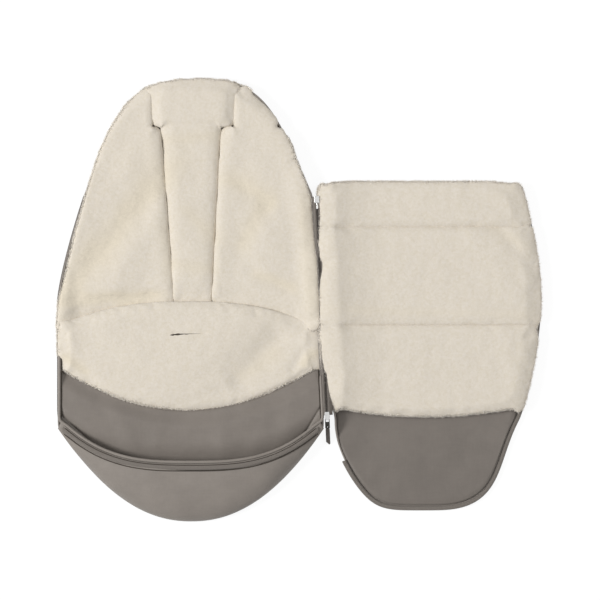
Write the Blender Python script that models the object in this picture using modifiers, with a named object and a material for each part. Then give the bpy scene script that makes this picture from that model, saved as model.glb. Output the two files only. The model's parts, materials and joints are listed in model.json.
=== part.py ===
# Stroller footmuff, laid open on its back with the front cover unfolded to its right.
# Metres, +Z up. The origin is the middle of the base's flat underside, +Y points to the head end.

import math

import bmesh
import bpy
from mathutils import Matrix, Vector

# The base seen from above
BASE_LENGTH = 0.888
BASE_HALF_WIDTH = 0.272
SHOULDER_HALF_WIDTH = 0.201
HEAD_BOW = 0.160
TOE_BOW = 0.188
SHOULDER_Y = BASE_LENGTH / 2.0 - HEAD_BOW
CORNER_Y = TOE_BOW - BASE_LENGTH / 2.0
SIDE_POWER = 1.5
HEAD_POWER = 3.4
TOE_POWER = 2.0

# The walls that the sewn layers stand in, as a shallow tray
WALL_HEIGHT = 0.0325
HEAD_WALL_HEIGHT = 0.0240
TOE_WALL_HEIGHT = 0.0085
FLOOR_BEVEL_HEIGHT = 0.0060
FLOOR_BEVEL_WIDTH = 0.0060
WALL_LEAN = 0.0015
SWELL_WIDTH = 0.070
SWELL_HEIGHT = 0.0060

# The sewn layers, from the floor up
SHELL_THICK = 0.0025
WADDING_THICK = 0.010
FLEECE_THICK = 0.0175
CUSHION_EXTRA = 0.0025
LINING_THICK = 0.0014
LAYER_GAP = 0.0005
SEAM_GAP = 0.0003
CURVED_SEAM_GAP = 0.0015
PAD_EDGE_RADIUS = 0.016
PAD_EDGE_SHARE = 0.42
FLEECE_INSET = 0.0048
HEAD_INSET = 0.0065
WADDING_INSET = 0.0120
TOE_LAYER_LIFT = 0.0120

# Harness slots and the seams that run into them
SLIT_FOOT_Y = 0.030
SLIT_TOP_Y = 0.346
SLIT_FOOT_X = 0.040
LEFT_SLIT_TOP_X = 0.066
RIGHT_SLIT_TOP_X = 0.057
SEAM_FOOT_X = 0.083
SEAM_TOP_X = 0.088
SLOT_WIDTH = 0.010
SLOT_END_GAP = 0.010
BINDING_THICK = 0.0010
CROTCH_SLOT_X = -0.006
CROTCH_SLOT_Y = -0.066
CROTCH_SLOT_LENGTH = 0.072

# Seat cushion
CUSHION_TOP_Y = -0.006
CUSHION_TOP_BOW = 0.050
CUSHION_TOP_POWER = 2.5
CUSHION_FOOT_RISE = 0.118
CUSHION_FOOT_Y = CORNER_Y + CUSHION_FOOT_RISE
CUSHION_FOOT_BOW = 0.088

# Foot pocket
RIM_INSET = 0.006
RIM_CORNER_RISE = 0.012
RIM_CORNER_Y = CORNER_Y + RIM_CORNER_RISE
RIM_BOW = 0.0825
RIM_POWER = 3.0
RIM_CORNER_HEIGHT = 0.0368
RIM_TOP_HEIGHT = 0.0580
TOE_PANEL_THICK = 0.0020
TOE_WADDING_THICK = 0.0045
TOE_FULL_RISE = 0.020
PIPING_RADIUS = 0.0022
PIPING_INSET = 0.0030
LEFT_PIPING_TOP_Y = -0.050
RIGHT_PIPING_TOP_Y = -0.150

# The zip line between the base and the cover
ZIP_TOP_X = 0.247
ZIP_FOOT_X = 0.268
ZIP_TOP_DROP = 0.076
ZIP_FOOT_RISE = 0.026
ZIP_RISE = 0.0075
ZIP_TOP_Y = SHOULDER_Y - ZIP_TOP_DROP
ZIP_FOOT_Y = CORNER_Y + ZIP_FOOT_RISE
ZIP_HEIGHT = WALL_HEIGHT + ZIP_RISE
EDGE_GAP = 0.0070
COVER_GAP = 0.0090
TAPE_THICK = 0.0008
TAPE_WIDTH = 0.0120
TAPE_SEAM_WIDTH = 0.0024
COIL_RADIUS = 0.0013
CHAIN_HALF_WIDTH = 0.0030
CHAIN_HALF_THICK = 0.0016
CHAIN_BEVEL = 0.0007

# Box, pin and end stop of the separable zip
BOX_WIDTH = 0.0100
BOX_LENGTH = 0.0140
BOX_THICK = 0.0060
PIN_RADIUS = 0.0012
PIN_LENGTH = 0.0250
PIN_TOP_GAP = 0.0010
PIN_CLEARANCE = 0.0003
PIN_PLATE_LENGTH = 0.0095
PIN_PLATE_THICK = 0.0012
CHAIN_START = 0.0275
COVER_TAPE_DROP = 0.0032
COVER_TAPE_REACH = 0.0074

# Slider and puller
SLIDER_LENGTH = 0.0170
SLIDER_WIDTH = 0.0110
SLIDER_THICK = 0.0080
SLIDER_NECK_WIDTH = 0.0084
SLIDER_FOOT_WIDTH = 0.0052
SLIDER_SHOULDER_SHARE = 0.36
SLIDER_BEVEL = 0.0010
CHANNEL_GAP = 0.0005
TAPE_SLOT_HEIGHT = 0.0026
SLIDER_BELOW_FOOT = 0.0105
CHAIN_IN_SLIDER = 0.0120
LUG_WIDTH = 0.0040
LUG_LENGTH = 0.0060
PIVOT_DROP = 0.0075
LUG_HOLE_RADIUS = 0.0013
LINK_THICK = 0.0014
LINK_WIDTH = 0.0094
LINK_LENGTH = 0.0245
LINK_BAR = 0.0014
LINK_WINDOW_WIDTH = 0.0062
LINK_WINDOW_LENGTH = 0.0080
LINK_HOLE_RADIUS = 0.0013
LINK_HOLE_SHARE = 0.78
PULLER_LENGTH = 0.0374
PULLER_WIDTH = 0.0084
PULLER_THICK = 0.0024
PULLER_SLANT = 0.0066
PULLER_FLOOR_GAP = 0.0005

# The front cover
COVER_TOP_RISE = 0.032
COVER_CORNER_DROP = 0.005
COVER_TOP_Y = ZIP_TOP_Y + COVER_TOP_RISE
COVER_CORNER_Y = ZIP_FOOT_Y - COVER_CORNER_DROP
COVER_FAR_X = 0.698
COVER_BULGE = 0.043
COVER_BULGE_POWER = 1.75
COVER_TOP_BOW = 0.014
COVER_TOP_POWER = 10.0
COVER_FOOT_BOW = 0.187
COVER_FOOT_POWER = 4.0
COVER_WALL_HEIGHT = 0.0075
COVER_CORNER_RUN = 0.0300
COVER_WALL_FADE = 0.060
COVER_WALL_HOLD = 0.012
COVER_TAPE_INSET = 0.0060
COVER_WADDING_THICK = 0.006
COVER_UPPER_SEAM_SHARE = 0.802105
COVER_LOWER_SEAM_SHARE = 0.389474
COVER_UPPER_SEAM_Y = COVER_CORNER_Y + COVER_UPPER_SEAM_SHARE * (COVER_TOP_Y - COVER_CORNER_Y)
COVER_LOWER_SEAM_Y = COVER_CORNER_Y + COVER_LOWER_SEAM_SHARE * (COVER_TOP_Y - COVER_CORNER_Y)
COVER_FLEECE_RISE = 0.021
COVER_FLEECE_FOOT_Y = COVER_CORNER_Y + COVER_FLEECE_RISE
COVER_FLEECE_BOW = 0.020

ROUND_STEPS = 16
OVERRUN = 0.004
MOST_BAND_SHARE = 0.45
MOST_REACH_SHARE = 0.9

for old in list(bpy.data.objects):
    bpy.data.objects.remove(old, do_unlink=True)

partCollection = bpy.data.collections.new("stroller_footmuff")
cutterCollection = bpy.data.collections.new("cutters")
bpy.context.scene.collection.children.link(partCollection)
bpy.context.scene.collection.children.link(cutterCollection)


def lerp(a, b, share):
    return a + (b - a) * share


def clamp(share):
    return min(1.0, max(0.0, share))


def smooth(share):
    s = clamp(share)
    return s * s * (3.0 - 2.0 * s)


def material(name, colour, roughness, metallic=0.0):
    made = bpy.data.materials.new(name)
    made.use_nodes = True
    shader = made.node_tree.nodes["Principled BSDF"]
    shader.inputs["Base Color"].default_value = (*colour, 1.0)
    shader.inputs["Roughness"].default_value = roughness
    shader.inputs["Metallic"].default_value = metallic
    made.diffuse_color = (*colour, 1.0)
    return made


TAUPE = (0.235, 0.207, 0.181)
TAUPE_LINING = (0.202, 0.176, 0.153)
CREAM = (0.745, 0.690, 0.590)
TAUPE_TAPE = (0.180, 0.157, 0.137)
DARK_NYLON = (0.085, 0.070, 0.056)
BLACK_METAL = (0.072, 0.070, 0.062)
SILVER = (0.760, 0.760, 0.740)
WHITE_FILL = (0.850, 0.850, 0.830)


def finish(obj, colour, roughness, metallic=0.0, collection=partCollection):
    collection.objects.link(obj)
    if collection is partCollection:
        obj.data.materials.clear()
        obj.data.materials.append(material(obj.name, colour, roughness, metallic))
    else:
        obj.hide_render = True
        obj.display_type = "WIRE"
    return obj


# Shares across a panel whose rows lie closer together within a band at either end
def stations(length, band, band_steps, middle_steps):
    edge = min(band / length, MOST_BAND_SHARE)
    low = [edge * n / band_steps for n in range(band_steps)]
    middle = [lerp(edge, 1.0 - edge, n / middle_steps) for n in range(middle_steps + 1)]
    return low + middle + [1.0 - share for share in reversed(low)]


# A closed slab: a grid extruded once, its corners put at point(u, v, w, ring) with w 0 below and 1 above,
# where ring counts the rows between a corner and the slab's border
def slab(name, point, across, along, colour, roughness):
    bm = bmesh.new()
    columns = len(across) - 1
    rows = len(along) - 1
    grid = bmesh.ops.create_grid(bm, x_segments=columns, y_segments=rows, size=1.0)
    lower = list(grid["verts"])
    raised = bmesh.ops.extrude_face_region(bm, geom=bm.faces[:])
    upper = [item for item in raised["geom"] if isinstance(item, bmesh.types.BMVert)]
    for w, verts in ((0.0, lower), (1.0, upper)):
        for vert in verts:
            column = round((vert.co.x + 1.0) / 2.0 * columns)
            row = round((vert.co.y + 1.0) / 2.0 * rows)
            ring = min(column, columns - column, row, rows - row)
            vert.co = point(across[column], along[row], w, ring)
    bmesh.ops.recalc_face_normals(bm, faces=bm.faces[:])
    mesh = bpy.data.meshes.new(name)
    bm.to_mesh(mesh)
    bm.free()
    mesh.shade_smooth()
    mesh.set_sharp_from_angle(angle=math.radians(40.0))
    return finish(bpy.data.objects.new(name, mesh), colour, roughness)


# A patch between four edge curves, each given as a function of a share from 0 to 1
def patch(low, high, left, right):
    corners = (low(0.0), low(1.0), high(0.0), high(1.0))

    def place(u, v):
        across = lerp(left(v), right(v), u)
        along = lerp(low(u), high(u), v)
        blend = lerp(lerp(corners[0], corners[1], u), lerp(corners[2], corners[3], u), v)
        return across + along - blend

    return place


def boolean(obj, cutter, operation="DIFFERENCE"):
    modifier = obj.modifiers.new(cutter.name, "BOOLEAN")
    modifier.operation = operation
    modifier.solver = "EXACT"
    modifier.object = cutter


def tube(name, points, radius, colour, roughness, sides=1):
    data = bpy.data.curves.new(name, "CURVE")
    data.dimensions = "3D"
    data.bevel_depth = radius
    data.bevel_resolution = sides
    data.use_fill_caps = True
    spline = data.splines.new("POLY")
    spline.points.add(len(points) - 1)
    for target, place in zip(spline.points, points):
        target.co = (*place, 1.0)
    return finish(bpy.data.objects.new(name, data), colour, roughness)


# A mesh copy of a curve object, with its caps welded, that can take Boolean modifiers
def curve_to_mesh(obj):
    bpy.context.view_layer.update()
    mesh = bpy.data.meshes.new_from_object(obj.evaluated_get(bpy.context.evaluated_depsgraph_get()))
    bm = bmesh.new()
    bm.from_mesh(mesh)
    bmesh.ops.remove_doubles(bm, verts=bm.verts[:], dist=SEAM_GAP / 100.0)
    bmesh.ops.recalc_face_normals(bm, faces=bm.faces[:])
    bm.to_mesh(mesh)
    bm.free()
    name = obj.name
    place = obj.matrix_world.copy()
    bpy.data.objects.remove(obj, do_unlink=True)
    made = bpy.data.objects.new(name, mesh)
    made.matrix_world = place
    return made


# Flat outlines, the first the outer one and the rest holes, with a thickness along Z
def plate(name, outlines, thickness):
    data = bpy.data.curves.new(name, "CURVE")
    data.dimensions = "2D"
    data.fill_mode = "BOTH"
    data.extrude = thickness / 2.0
    for outline in outlines:
        spline = data.splines.new("POLY")
        spline.points.add(len(outline) - 1)
        spline.use_cyclic_u = True
        for target, (x, y) in zip(spline.points, outline):
            target.co = (x, y, 0.0, 1.0)
    obj = bpy.data.objects.new(name, data)
    bpy.context.scene.collection.objects.link(obj)
    return curve_to_mesh(obj)


# Outline of the base
def zip_x(y):
    slope = (ZIP_FOOT_X - ZIP_TOP_X) / (ZIP_TOP_Y - ZIP_FOOT_Y)
    return ZIP_TOP_X + (ZIP_TOP_Y - y) * slope


def left_edge(y, inset=0.0):
    drawn_in = (BASE_HALF_WIDTH - SHOULDER_HALF_WIDTH) * (max(0.0, y) / SHOULDER_Y) ** SIDE_POWER
    return inset + drawn_in - BASE_HALF_WIDTH


def right_edge(y, inset=0.0):
    if y <= ZIP_TOP_Y:
        return zip_x(y) - EDGE_GAP - inset
    start = zip_x(ZIP_TOP_Y) - EDGE_GAP
    share = (y - ZIP_TOP_Y) / (SHOULDER_Y - ZIP_TOP_Y)
    return lerp(start, SHOULDER_HALF_WIDTH, share) - inset


# Height of the base's wall at a place on its outline
def wall_height(y):
    if y > ZIP_TOP_Y:
        share = smooth((y - ZIP_TOP_Y) / (SHOULDER_Y - ZIP_TOP_Y))
        return lerp(WALL_HEIGHT, HEAD_WALL_HEIGHT, share)
    return lerp(WALL_HEIGHT, TOE_WALL_HEIGHT, smooth((CORNER_Y - y) / TOE_BOW * 2.0))


# How far the fleece swells upward towards the base's sides, from 0 in the middle
def side_swell(x, y):
    away = min(x - left_edge(y), right_edge(y) - x)
    near = clamp(1.0 - away / SWELL_WIDTH)
    fade = 1.0 - smooth((y - ZIP_TOP_Y) / (SHOULDER_Y - ZIP_TOP_Y))
    return SWELL_HEIGHT * near * near * fade


WADDING_LOW = SHELL_THICK + LAYER_GAP
WADDING_TOP = WADDING_LOW + WADDING_THICK
FLEECE_LOW = WADDING_TOP + LAYER_GAP


# A bowed line from the base's left edge to its right, share from -1 to 1
def base_arc(share, end_y, bow, power, inset):
    x = lerp(left_edge(end_y, inset), right_edge(end_y, inset), (share + 1.0) / 2.0)
    return Vector((x, end_y + bow * (1.0 - abs(share) ** power)))


def head_arc(share, inset):
    x = share * (SHOULDER_HALF_WIDTH - inset)
    return Vector((x, SHOULDER_Y + (HEAD_BOW - inset) * (1.0 - abs(share) ** HEAD_POWER)))


def toe_arc(share, inset, lift):
    return base_arc(share, CORNER_Y + lift, inset - TOE_BOW, TOE_POWER, inset)


def cushion_top_arc(share, lift=0.0):
    end_y = CUSHION_TOP_Y - CUSHION_TOP_BOW + lift
    return base_arc(share, end_y, CUSHION_TOP_BOW, CUSHION_TOP_POWER, FLEECE_INSET)


def cushion_foot_arc(share, lift=0.0):
    return base_arc(share, CUSHION_FOOT_Y + lift, -CUSHION_FOOT_BOW, 2.0, FLEECE_INSET)


# The share at which a bowed line from left to right passes a given x
def share_at(arc, x):
    left = arc(-1.0).x
    return 2.0 * (x - left) / (arc(1.0).x - left) - 1.0


def side_curve(edge, low_y, high_y, inset):
    def curve(v):
        y = lerp(low_y, high_y, v)
        return Vector((edge(y, inset), y))

    return curve


# The whole base outline, drawn in by inset, with its toe end moved up by lift
def base_patch(inset, lift):
    return patch(
        lambda u: toe_arc(2.0 * u - 1.0, inset, lift),
        lambda u: head_arc(2.0 * u - 1.0, inset),
        side_curve(left_edge, CORNER_Y + lift, SHOULDER_Y, inset),
        side_curve(right_edge, CORNER_Y + lift, SHOULDER_Y, inset),
    )


# A flat layer between two heights
def flat_layer(name, place, low, thick, across, along, colour, roughness):
    def point(u, v, w, ring):
        x, y = place(u, v)
        return Vector((x, y, low + w * thick))

    return slab(name, point, across, along, colour, roughness)


# A fabric tray: two bevelled rings and a wall round a flat floor. place_at(inset) gives the floor's
# patch, rim(x, y) the wall's height, and across and along repeat their end shares for the rings
def tray(name, place_at, rim, across, along, colour, roughness):
    insets = (0.0, WALL_LEAN, WALL_LEAN + FLOOR_BEVEL_WIDTH)

    def point(u, v, w, ring):
        level = min(ring, 2)
        x, y = place_at(insets[level] + (w * SHELL_THICK if level < 2 else 0.0))(u, v)
        if level == 0:
            return Vector((x, y, rim(x, y)))
        bevel_top = min(FLOOR_BEVEL_HEIGHT, (rim(x, y) - SHELL_THICK) / 2.0)
        return Vector((x, y, (bevel_top if level == 1 else 0.0) + w * SHELL_THICK))

    ends = (0.0, 0.0)
    across = [*ends, *across, 1.0, 1.0]
    along = [*ends, *along, 1.0, 1.0]
    return slab(name, point, across, along, colour, roughness)


# Share of a pad's full thickness at a place in it: low at its border, full once a radius inside
def crown(u, v, width, length):
    border = min(min(u, 1.0 - u) * width, min(v, 1.0 - v) * length)
    inward = clamp(border / PAD_EDGE_RADIUS)
    return lerp(PAD_EDGE_SHARE, 1.0, math.sqrt(1.0 - (1.0 - inward) ** 2))


def base_pad(name, place, extra, across, along, width, length):
    def point(u, v, w, ring):
        x, y = place(u, v)
        thick = FLEECE_THICK + extra + side_swell(x, y)
        return Vector((x, y, FLEECE_LOW + w * thick * crown(u, v, width, length)))

    return slab(name, point, across, along, CREAM, 0.95)


# The line of a harness slit at height y, side -1 on the left and 1 on the right
def slit_x(side, y):
    top = RIGHT_SLIT_TOP_X if side > 0 else LEFT_SLIT_TOP_X
    return side * lerp(SLIT_FOOT_X, top, (y - SLIT_FOOT_Y) / (SLIT_TOP_Y - SLIT_FOOT_Y))


# The border between a wing and the centre panel: slit below the step, seam above it
def border_x(side, y, shift):
    if y < SLIT_TOP_Y:
        return slit_x(side, y) + side * shift * SLOT_WIDTH / 2.0
    head = SHOULDER_Y + HEAD_BOW
    seam = lerp(SEAM_FOOT_X, SEAM_TOP_X, (y - SLIT_TOP_Y) / (head - SLIT_TOP_Y))
    return side * (seam + shift * SEAM_GAP)


# Rows for a piece with the slit's step: close together on either side of the step's height
def step_rows(foot_y, head_y, step_y, below, above):
    low = (step_y - SEAM_GAP - foot_y) / (head_y - foot_y)
    high = (step_y + SEAM_GAP - foot_y) / (head_y - foot_y)
    lower = [low * n / below for n in range(below)]
    upper = [lerp(high, 1.0, n / above) for n in range(above + 1)]
    return lower + [low] + upper


# The border curve of a wing (shift 1) or of the centre panel (shift -1), stepping at a height of its own
def border_curve(side, shift):
    step_y = SLIT_TOP_Y - shift * SLOT_WIDTH / 2.0
    foot_x = border_x(side, CUSHION_TOP_Y, shift)
    head_x = border_x(side, SHOULDER_Y + HEAD_BOW, shift)
    foot = cushion_top_arc(share_at(cushion_top_arc, foot_x), CURVED_SEAM_GAP)
    head = head_arc(head_x / (SHOULDER_HALF_WIDTH - HEAD_INSET), HEAD_INSET)

    def curve(v):
        y = lerp(foot.y, head.y, v)
        line = min(y, SLIT_TOP_Y - SEAM_GAP) if y < step_y else max(y, SLIT_TOP_Y + SEAM_GAP)
        start = lerp(foot.x, foot_x, clamp(v * SLOT_WIDTH / SEAM_GAP))
        return Vector((border_x(side, line, shift) + start - foot_x, y))

    return curve, foot, head, step_y


def make_base_shell():
    across = stations(2.0 * BASE_HALF_WIDTH, SWELL_WIDTH, 4, 12)
    along = stations(SHOULDER_Y - CORNER_Y, SWELL_WIDTH, 1, 9)

    def rim(x, y):
        return wall_height(y)

    return tray("base_outer_shell", lambda inset: base_patch(inset, 0.0), rim, across, along, TAUPE, 0.7)


def make_back_wadding():
    across = stations(2.0 * BASE_HALF_WIDTH, SWELL_WIDTH, 3, 10)
    along = stations(SHOULDER_Y - CORNER_Y, SWELL_WIDTH, 1, 5)
    place = base_patch(WADDING_INSET, TOE_LAYER_LIFT)
    return flat_layer("back_wadding", place, WADDING_LOW, WADDING_THICK, across, along, WHITE_FILL, 0.95)


def make_wing(name, side):
    edge = right_edge if side > 0 else left_edge
    inner, foot_in, head_in, step_y = border_curve(side, 1.0)
    foot_share = share_at(cushion_top_arc, foot_in.x)
    head_share = head_in.x / (SHOULDER_HALF_WIDTH - HEAD_INSET)
    low_y = cushion_top_arc(side, CURVED_SEAM_GAP).y
    outer = side_curve(edge, low_y, SHOULDER_Y, HEAD_INSET)

    def foot(u):
        share = lerp(foot_share, side, u) if side > 0 else lerp(side, foot_share, u)
        place = cushion_top_arc(share, CURVED_SEAM_GAP)
        start = foot_in.x if side > 0 else outer(0.0).x
        end = outer(0.0).x if side > 0 else foot_in.x
        return Vector((lerp(start, end, u), place.y))

    def head(u):
        share = lerp(head_share, side, u) if side > 0 else lerp(side, head_share, u)
        return head_arc(share, HEAD_INSET)

    width = BASE_HALF_WIDTH - SLIT_FOOT_X
    length = SHOULDER_Y + HEAD_BOW - CUSHION_TOP_Y
    across = stations(width, PAD_EDGE_RADIUS, 3, 6)
    along = step_rows(foot_in.y, head_in.y, step_y, 9, 5)
    place = patch(foot, head, inner, outer) if side > 0 else patch(foot, head, outer, inner)
    return base_pad(name, place, 0.0, across, along, width, length)


def make_centre_panel():
    left, left_foot, left_head, step_y = border_curve(-1, -1.0)
    right, right_foot, right_head, _ = border_curve(1, -1.0)
    foot_shares = [share_at(cushion_top_arc, end.x) for end in (left_foot, right_foot)]
    head_shares = [end.x / (SHOULDER_HALF_WIDTH - HEAD_INSET) for end in (left_head, right_head)]

    def foot(u):
        return cushion_top_arc(lerp(*foot_shares, u), CURVED_SEAM_GAP)

    def head(u):
        return head_arc(lerp(*head_shares, u), HEAD_INSET)

    width = 2.0 * SLIT_FOOT_X
    across = stations(width, PAD_EDGE_RADIUS, 3, 3)
    along = step_rows(left_foot.y, left_head.y, step_y, 9, 5)
    place = patch(foot, head, left, right)
    length = SHOULDER_Y + HEAD_BOW - CUSHION_TOP_Y
    return base_pad("centre_panel_fleece", place, 0.0, across, along, width, length)


def make_seat_cushion():
    low_y = cushion_foot_arc(1.0).y
    high_y = cushion_top_arc(1.0).y
    place = patch(
        lambda u: cushion_foot_arc(2.0 * u - 1.0),
        lambda u: cushion_top_arc(2.0 * u - 1.0),
        side_curve(left_edge, low_y, high_y, FLEECE_INSET),
        side_curve(right_edge, low_y, high_y, FLEECE_INSET),
    )
    width = 2.0 * BASE_HALF_WIDTH
    length = CUSHION_TOP_Y - CUSHION_FOOT_Y + CUSHION_FOOT_BOW
    across = stations(width, SWELL_WIDTH, 5, 8)
    along = stations(length, PAD_EDGE_RADIUS, 3, 6)
    return base_pad("seat_cushion_fleece", place, CUSHION_EXTRA, across, along, width, length)


def make_foot_lining():
    high_y = cushion_foot_arc(1.0, -CURVED_SEAM_GAP).y
    low_y = CORNER_Y + TOE_LAYER_LIFT
    place = patch(
        lambda u: toe_arc(2.0 * u - 1.0, FLEECE_INSET, TOE_LAYER_LIFT),
        lambda u: cushion_foot_arc(2.0 * u - 1.0, -CURVED_SEAM_GAP),
        side_curve(left_edge, low_y, high_y, FLEECE_INSET),
        side_curve(right_edge, low_y, high_y, FLEECE_INSET),
    )
    across = stations(2.0 * BASE_HALF_WIDTH, SWELL_WIDTH, 4, 8)
    along = [n / 4.0 for n in range(5)]
    return flat_layer("foot_lining", place, FLEECE_LOW, LINING_THICK, across, along, TAUPE_LINING, 0.6)


# The foot pocket's outer wall, swept from the base's toe edge up and inward to the rim
def rim_place(u):
    return base_arc(2.0 * u - 1.0, RIM_CORNER_Y, -RIM_BOW, RIM_POWER, RIM_INSET)


# A place beside the rim, moved inward at right angles to it
def beside_rim(u, shift):
    step = 0.01
    tangent = rim_place(min(1.0, u + step)) - rim_place(max(0.0, u - step))
    return rim_place(u) + shift * Vector((-tangent.y, tangent.x)).normalized()


def rim_height(u):
    share = abs(2.0 * u - 1.0)
    return lerp(RIM_TOP_HEIGHT, RIM_CORNER_HEIGHT, share**2)


def toe_point(u, turn, depth):
    rim = rim_place(u)
    outline = toe_arc(2.0 * u - 1.0, 0.0, 0.0)
    reach = (outline - rim).length
    rise = rim_height(u) - wall_height(outline.y)
    inward = depth * (min(1.0, rise / TOE_FULL_RISE) if depth > 0.0 else 1.0)
    plan = rim + (outline - rim) * (math.cos(turn) * (1.0 - inward / reach))
    seat = rim + (outline - rim) * (1.0 - inward / reach)
    low = wall_height(seat.y) + 2.0 * SEAM_GAP
    return Vector((plan.x, plan.y, lerp(low, rim_height(u) - inward, math.sin(turn))))


def toe_reach(u):
    return (toe_arc(2.0 * u - 1.0, 0.0, 0.0) - rim_place(u)).length


def make_toe_layer(name, outer, thick, colour, roughness):
    def point(u, v, w, ring):
        return toe_point(u, v * math.pi / 2.0, outer + (1.0 - w) * thick)

    across = stations(2.0 * BASE_HALF_WIDTH, SWELL_WIDTH, 4, 12)
    along = [n / 6.0 for n in range(7)]
    return slab(name, point, across, along, colour, roughness)


def tape_turn(u):
    return math.acos(min(MOST_REACH_SHARE, TAPE_WIDTH / toe_reach(u)))


def make_toe_tape():
    def point(u, v, w, ring):
        turn = lerp(tape_turn(u), math.pi / 2.0, v)
        return toe_point(u, turn, -SEAM_GAP - w * TAPE_THICK)

    across = stations(2.0 * BASE_HALF_WIDTH, SWELL_WIDTH, 4, 12)
    return slab("base_zip_tape_toe", point, across, [0.0, 0.5, 1.0], TAUPE_TAPE, 0.8)


def make_toe_coil():
    steps = 36
    points = []
    for n in range(1, steps):
        u = n / steps
        reach = toe_reach(u)
        past = TAPE_WIDTH + COIL_RADIUS + SEAM_GAP
        if past < MOST_REACH_SHARE * reach:
            points.append(toe_point(u, math.acos(past / reach), -COIL_RADIUS - 2.0 * SEAM_GAP))
    return tube("base_zip_coil_toe", points, COIL_RADIUS, DARK_NYLON, 0.5)


def make_rim_piping():
    lift = PIPING_RADIUS + SEAM_GAP
    side_z = WALL_HEIGHT + TAPE_THICK + SEAM_GAP + lift
    points = []
    side_steps = 7
    for n in range(side_steps):
        y = lerp(LEFT_PIPING_TOP_Y, RIM_CORNER_Y, n / side_steps)
        points.append(Vector((left_edge(y, PIPING_INSET), y, side_z)))
    toe_steps = 32
    for n in range(1, toe_steps):
        u = n / toe_steps
        flat = beside_rim(u, lift + SEAM_GAP)
        points.append(Vector((flat.x, flat.y, max(rim_height(u), side_z))))
    for n in range(side_steps - 1, -1, -1):
        y = lerp(RIGHT_PIPING_TOP_Y, RIM_CORNER_Y, n / side_steps)
        points.append(Vector((right_edge(y, PIPING_INSET), y, side_z)))
    return tube("rim_piping", points, PIPING_RADIUS, TAUPE, 0.6)


def make_left_tape():
    def point(u, v, w, ring):
        y = lerp(CORNER_Y, ZIP_TOP_Y, v)
        x = left_edge(y) - SEAM_GAP - (1.0 - w) * TAPE_THICK
        return Vector((x, y, WALL_HEIGHT - u * TAPE_WIDTH))

    along = [n / 14.0 for n in range(15)]
    return slab("base_zip_tape_left", point, [0.0, 1.0], along, TAUPE_TAPE, 0.8)


def make_left_coil():
    steps = 14
    points = []
    for n in range(steps + 1):
        y = lerp(CORNER_Y, ZIP_TOP_Y, n / steps)
        x = left_edge(y) - SEAM_GAP - COIL_RADIUS
        points.append(Vector((x, y, WALL_HEIGHT - TAPE_WIDTH - COIL_RADIUS - SEAM_GAP)))
    return tube("base_zip_coil_left", points, COIL_RADIUS, DARK_NYLON, 0.5)


# Places along the closed zip: across to the right, along from its foot to its top, height above the axis
ZIP_SPAN = Vector((ZIP_TOP_X - ZIP_FOOT_X, ZIP_TOP_Y - ZIP_FOOT_Y))
ZIP_LENGTH = ZIP_SPAN.length
ZIP_TURN = math.atan2(-ZIP_SPAN.x, ZIP_SPAN.y)
ZIP_FRAME = Matrix.Translation((ZIP_FOOT_X, ZIP_FOOT_Y, ZIP_HEIGHT)) @ Matrix.Rotation(ZIP_TURN, 4, "Z")


def zip_place(across, along, height):
    return ZIP_FRAME @ Vector((across, along, height))


def make_closed_tape():
    box_side = BOX_WIDTH / 2.0 + SEAM_GAP
    chain_side = CHAIN_HALF_WIDTH + SEAM_GAP
    slot_end = SLIDER_WIDTH / 2.0 + SEAM_GAP
    chain_top = ZIP_LENGTH - CHAIN_START

    def inner(along):
        return box_side if along > chain_top else chain_side

    def point(u, v, w, ring):
        along = lerp(0.0, ZIP_LENGTH, v)
        start = inner(along)
        flat = max(slot_end, start)
        offset = (start, flat, EDGE_GAP + SEAM_GAP, EDGE_GAP + TAPE_SEAM_WIDTH)[round(u * 3.0)]
        place = zip_place(-offset, along, (w - 0.5) * TAPE_THICK)
        if offset > flat:
            place.z = WALL_HEIGHT + SEAM_GAP + w * TAPE_THICK
        return place

    low = chain_top / ZIP_LENGTH
    step = SEAM_GAP / ZIP_LENGTH
    along = [low * n / 9.0 for n in range(10)] + [low + step, 1.0]
    return slab("base_zip_tape_right", point, [n / 3.0 for n in range(4)], along, TAUPE_TAPE, 0.8)


def place_in_zip(obj, along, turn=None):
    extra = turn if turn is not None else Matrix.Identity(4)
    obj.matrix_world = ZIP_FRAME @ Matrix.Translation((0.0, along, 0.0)) @ extra
    return obj


def box_object(name, size):
    bm = bmesh.new()
    bmesh.ops.create_cube(bm, size=1.0, matrix=Matrix.Diagonal((*size, 1.0)))
    mesh = bpy.data.meshes.new(name)
    bm.to_mesh(mesh)
    bm.free()
    return bpy.data.objects.new(name, mesh)


def rod_object(name, radius, length, axis):
    bm = bmesh.new()
    turn = Matrix.Rotation(math.pi / 2.0, 4, axis)
    bmesh.ops.create_cone(
        bm, cap_ends=True, segments=ROUND_STEPS, radius1=radius, radius2=radius, depth=length, matrix=turn
    )
    mesh = bpy.data.meshes.new(name)
    bm.to_mesh(mesh)
    bm.free()
    return bpy.data.objects.new(name, mesh)


def bevel(obj, width):
    modifier = obj.modifiers.new("edges", "BEVEL")
    modifier.width = width
    modifier.segments = 2
    modifier.limit_method = "ANGLE"


def make_chain():
    foot = CHAIN_IN_SLIDER - SLIDER_BELOW_FOOT
    length = ZIP_LENGTH - CHAIN_START - foot
    size = (2.0 * CHAIN_HALF_WIDTH, length, 2.0 * CHAIN_HALF_THICK)
    chain = finish(box_object("closed_zip_chain", size), DARK_NYLON, 0.5)
    bevel(chain, CHAIN_BEVEL)
    return place_in_zip(chain, foot + length / 2.0)


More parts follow.
